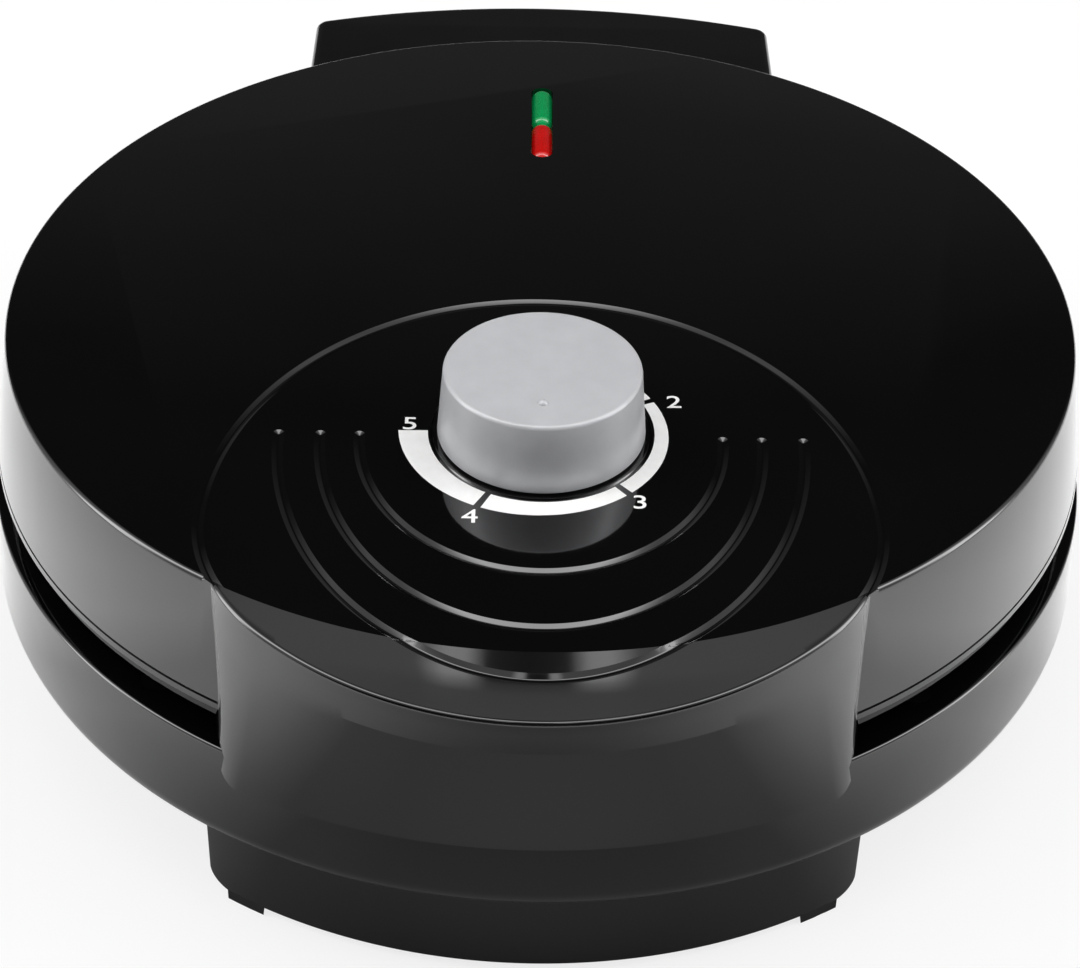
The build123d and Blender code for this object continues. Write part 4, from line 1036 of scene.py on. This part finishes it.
# Paper floor, and an arch of soft light from left to right over the object, dark in front and
# behind; ramps are stops of (place, value), and the floor has painted shade before the object
studio = {
    "floorSize": 6.0,
    "floorColour": (0.93, 0.93, 0.93, 1),
    "floorRoughness": 0.9,
    "floorGlow": 0.8,
    "white": (1, 1, 1, 1),
    # Painted shade on the floor before the object, seen by all but camera rays: middle, reach, ramp
    "paintedShadeCentre": (0, -0.16, 0),
    "paintedShadeReach": 0.4,
    "paintedFloorShade": ((0.0, 0.17), (0.12, 0.165), (0.2, 0.2), (0.25, 0.36), (0.31, 0.6), (0.4, 0.9),
             (0.5, 1.0), (0.7, 1.0), (0.9, 0.86)),
    # Painted light: a glow on the paper round the painted shade, seen only in reflections
    "paintedFloorGlow": ((0.45, 0.0), (0.53, 0.32), (0.6, 0.28), (0.7, 0.05), (1.0, 0.0)),
    "arch": ((0.0, 3.8), (0.085, 3.8), (0.16, 1.7), (0.22, 0.7), (0.28, 0.46), (0.42, 0.46),
             (0.5, 0.25), (0.6, 0.06), (0.66, 0.015), (0.8, 0.015), (0.83, 0.03), (0.88, 0.06),
             (0.93, 0.08), (1.0, 0.12)),
    "archPeak": 3.8,
    "gapFar": ((0.278, 0.0), (0.328, 1.0), (0.39, 1.0), (0.45, 0.0)),
    "gapAcross": ((0.0, 0.03), (0.042, 0.05), (0.062, 0.95), (0.084, 1.0), (0.112, 0.28),
                  (1.0, 0.18)),
    "gapPeak": 4.4,
    "topGain": 0.95,
    "sideGain": 0.5,
}


# A ramp over the incoming value; it holds 1 at most, so its stops are divided by their peak
def rampNode(tree, value, stops, peak=1.0):
    ramp = tree.nodes.new("ShaderNodeValToRGB")
    elements = ramp.color_ramp.elements
    while len(elements) < len(stops):
        elements.new(1)
    for element, (position, strength) in zip(elements, stops):
        element.position = position
        element.color = (strength / peak, strength / peak, strength / peak, 1)
    tree.links.new(value, ramp.inputs["Fac"])
    return ramp.outputs["Color"]


def mathNode(tree, operation, *values):
    node = tree.nodes.new("ShaderNodeMath")
    node.operation = operation
    for socket, value in zip(node.inputs, values):
        if isinstance(value, (int, float)):
            socket.default_value = value
        else:
            tree.links.new(value, socket)
    return node.outputs["Value"]


# Two shaders mixed into the output of a material or world
def mixShaders(tree, factor, first, second, output):
    mix = tree.nodes.new("ShaderNodeMixShader")
    tree.links.new(factor, mix.inputs["Fac"])
    tree.links.new(first, mix.inputs[1])
    tree.links.new(second, mix.inputs[2])
    tree.links.new(mix.outputs["Shader"], tree.nodes[output].inputs["Surface"])


bm = bmesh.new()
bmesh.ops.create_grid(bm, x_segments=1, y_segments=1, size=studio["floorSize"])
floorMesh = bpy.data.meshes.new("floor")
bm.to_mesh(floorMesh)
bm.free()
floor = bpy.data.objects.new("floor", floorMesh)
scene.collection.objects.link(floor)

floorMaterial = bpy.data.materials.new("floorPaper")
floorMaterial.use_nodes = True
tree = floorMaterial.node_tree
paper = tree.nodes["Principled BSDF"]
paper.inputs["Roughness"].default_value = studio["floorRoughness"]
rays = tree.nodes.new("ShaderNodeLightPath")
coords = tree.nodes.new("ShaderNodeTexCoord")
# Painted shade: all but camera rays see the floor darkened before the object
toPaintedShade = tree.nodes.new("ShaderNodeVectorMath")
toPaintedShade.operation = "DISTANCE"
toPaintedShade.inputs[1].default_value = studio["paintedShadeCentre"]
tree.links.new(coords.outputs["Object"], toPaintedShade.inputs[0])
outward = mathNode(tree, "DIVIDE", toPaintedShade.outputs["Value"], studio["paintedShadeReach"])
paintedFloorShade = rampNode(tree, outward, studio["paintedFloorShade"])
paperWithPaintedShade = mixColours(tree, rays.outputs["Is Camera Ray"], paintedFloorShade, studio["floorColour"])
tree.links.new(paperWithPaintedShade, paper.inputs["Base Color"])
# Painted light: in reflections the paper round the painted shade glows a little brighter
paintedGlow = rampNode(tree, outward, studio["paintedFloorGlow"])
tree.links.new(paintedGlow, paper.inputs["Emission Color"])
tree.links.new(rays.outputs["Is Glossy Ray"], paper.inputs["Emission Strength"])
glow = tree.nodes.new("ShaderNodeEmission")
shown = mathNode(tree, "MULTIPLY", rays.outputs["Is Camera Ray"], studio["floorGlow"])
mixShaders(tree, shown, paper.outputs["BSDF"], glow.outputs["Emission"], "Material Output")
floorMesh.materials.append(floorMaterial)

world = bpy.data.worlds.new("studio")
scene.world = world
world.use_nodes = True
tree = world.node_tree
backdrop = tree.nodes["Background"]
direction = tree.nodes.new("ShaderNodeTexCoord")
axes = tree.nodes.new("ShaderNodeSeparateXYZ")
tree.links.new(direction.outputs["Generated"], axes.inputs["Vector"])
depth = mathNode(tree, "ABSOLUTE", axes.outputs["Y"])
aside = mathNode(tree, "ABSOLUTE", axes.outputs["X"])
arch = rampNode(tree, depth, studio["arch"], studio["archPeak"])
# Where the arch thins out towards front and back it leaves a gap and two soft patches
gapFar = rampNode(tree, depth, studio["gapFar"])
gapAcross = rampNode(tree, aside, studio["gapAcross"])
gapAmount = mathNode(tree, "MULTIPLY", gapAcross, studio["gapPeak"])
gapOff = mathNode(tree, "MULTIPLY", gapFar, mathNode(tree, "SUBTRACT", gapAmount, 1.0))
archLight = mathNode(tree, "MULTIPLY", arch, mathNode(tree, "ADD", gapOff, 1.0))
# The arch's two feet are brighter than its top
sides = mathNode(tree, "MULTIPLY", aside, studio["sideGain"])
archLight = mathNode(tree, "MULTIPLY", archLight, mathNode(tree, "ADD", sides, studio["topGain"]))
archLight = mathNode(tree, "MULTIPLY", archLight, studio["archPeak"])
tree.links.new(archLight, backdrop.inputs["Strength"])
backdrop.inputs["Color"].default_value = studio["white"]
# The camera sees plain white behind the floor, through glass too
white = tree.nodes.new("ShaderNodeBackground")
white.inputs["Color"].default_value = studio["white"]
rays = tree.nodes.new("ShaderNodeLightPath")
seen = mathNode(tree, "MAXIMUM", rays.outputs["Is Camera Ray"], rays.outputs["Is Transmission Ray"])
mixShaders(tree, seen, backdrop.outputs["Background"], white.outputs["Background"], "World Output")
print("studio")

# The camera, solved from the photograph: the lid's round top, the base's rims, the knob and the
# rear block; focal length and width in pixels, distances in mm, the aim on the lid's top
view = {
    "focal": 2600,
    "width": 1080,
    "sensor": 36,
    "nearest": 10 * mm,
    "distance": 500.463,
    "elevation": 38.3436,
    "azimuth": -0.8201,
    "roll": 1.49145,
    "aimX": -0.2283,
    "aimY": -63.79,
}

elevation = math.radians(view["elevation"])
azimuth = math.radians(view["azimuth"])
roll = math.radians(view["roll"])
level = math.cos(elevation)
back = Vector((math.sin(azimuth) * level, -math.cos(azimuth) * level, math.sin(elevation)))
across = Vector((0, 0, 1)).cross(back).normalized()
upwards = back.cross(across)
right = across * math.cos(roll) + upwards * math.sin(roll)
top = upwards * math.cos(roll) - across * math.sin(roll)
place = (Vector((view["aimX"], view["aimY"], 0)) + back * view["distance"]) * mm
place += onBody(0, 0, body["lidTop"])
cameraData = bpy.data.cameras.new("camera")
cameraData.sensor_width = view["sensor"]
cameraData.lens = view["sensor"] * view["focal"] / view["width"]
cameraData.clip_start = view["nearest"]
camera = bpy.data.objects.new("camera", cameraData)
turned = Matrix((right, top, back)).transposed().to_4x4()
camera.matrix_world = Matrix.Translation(place) @ turned
scene.collection.objects.link(camera)
scene.camera = camera
print("camera")
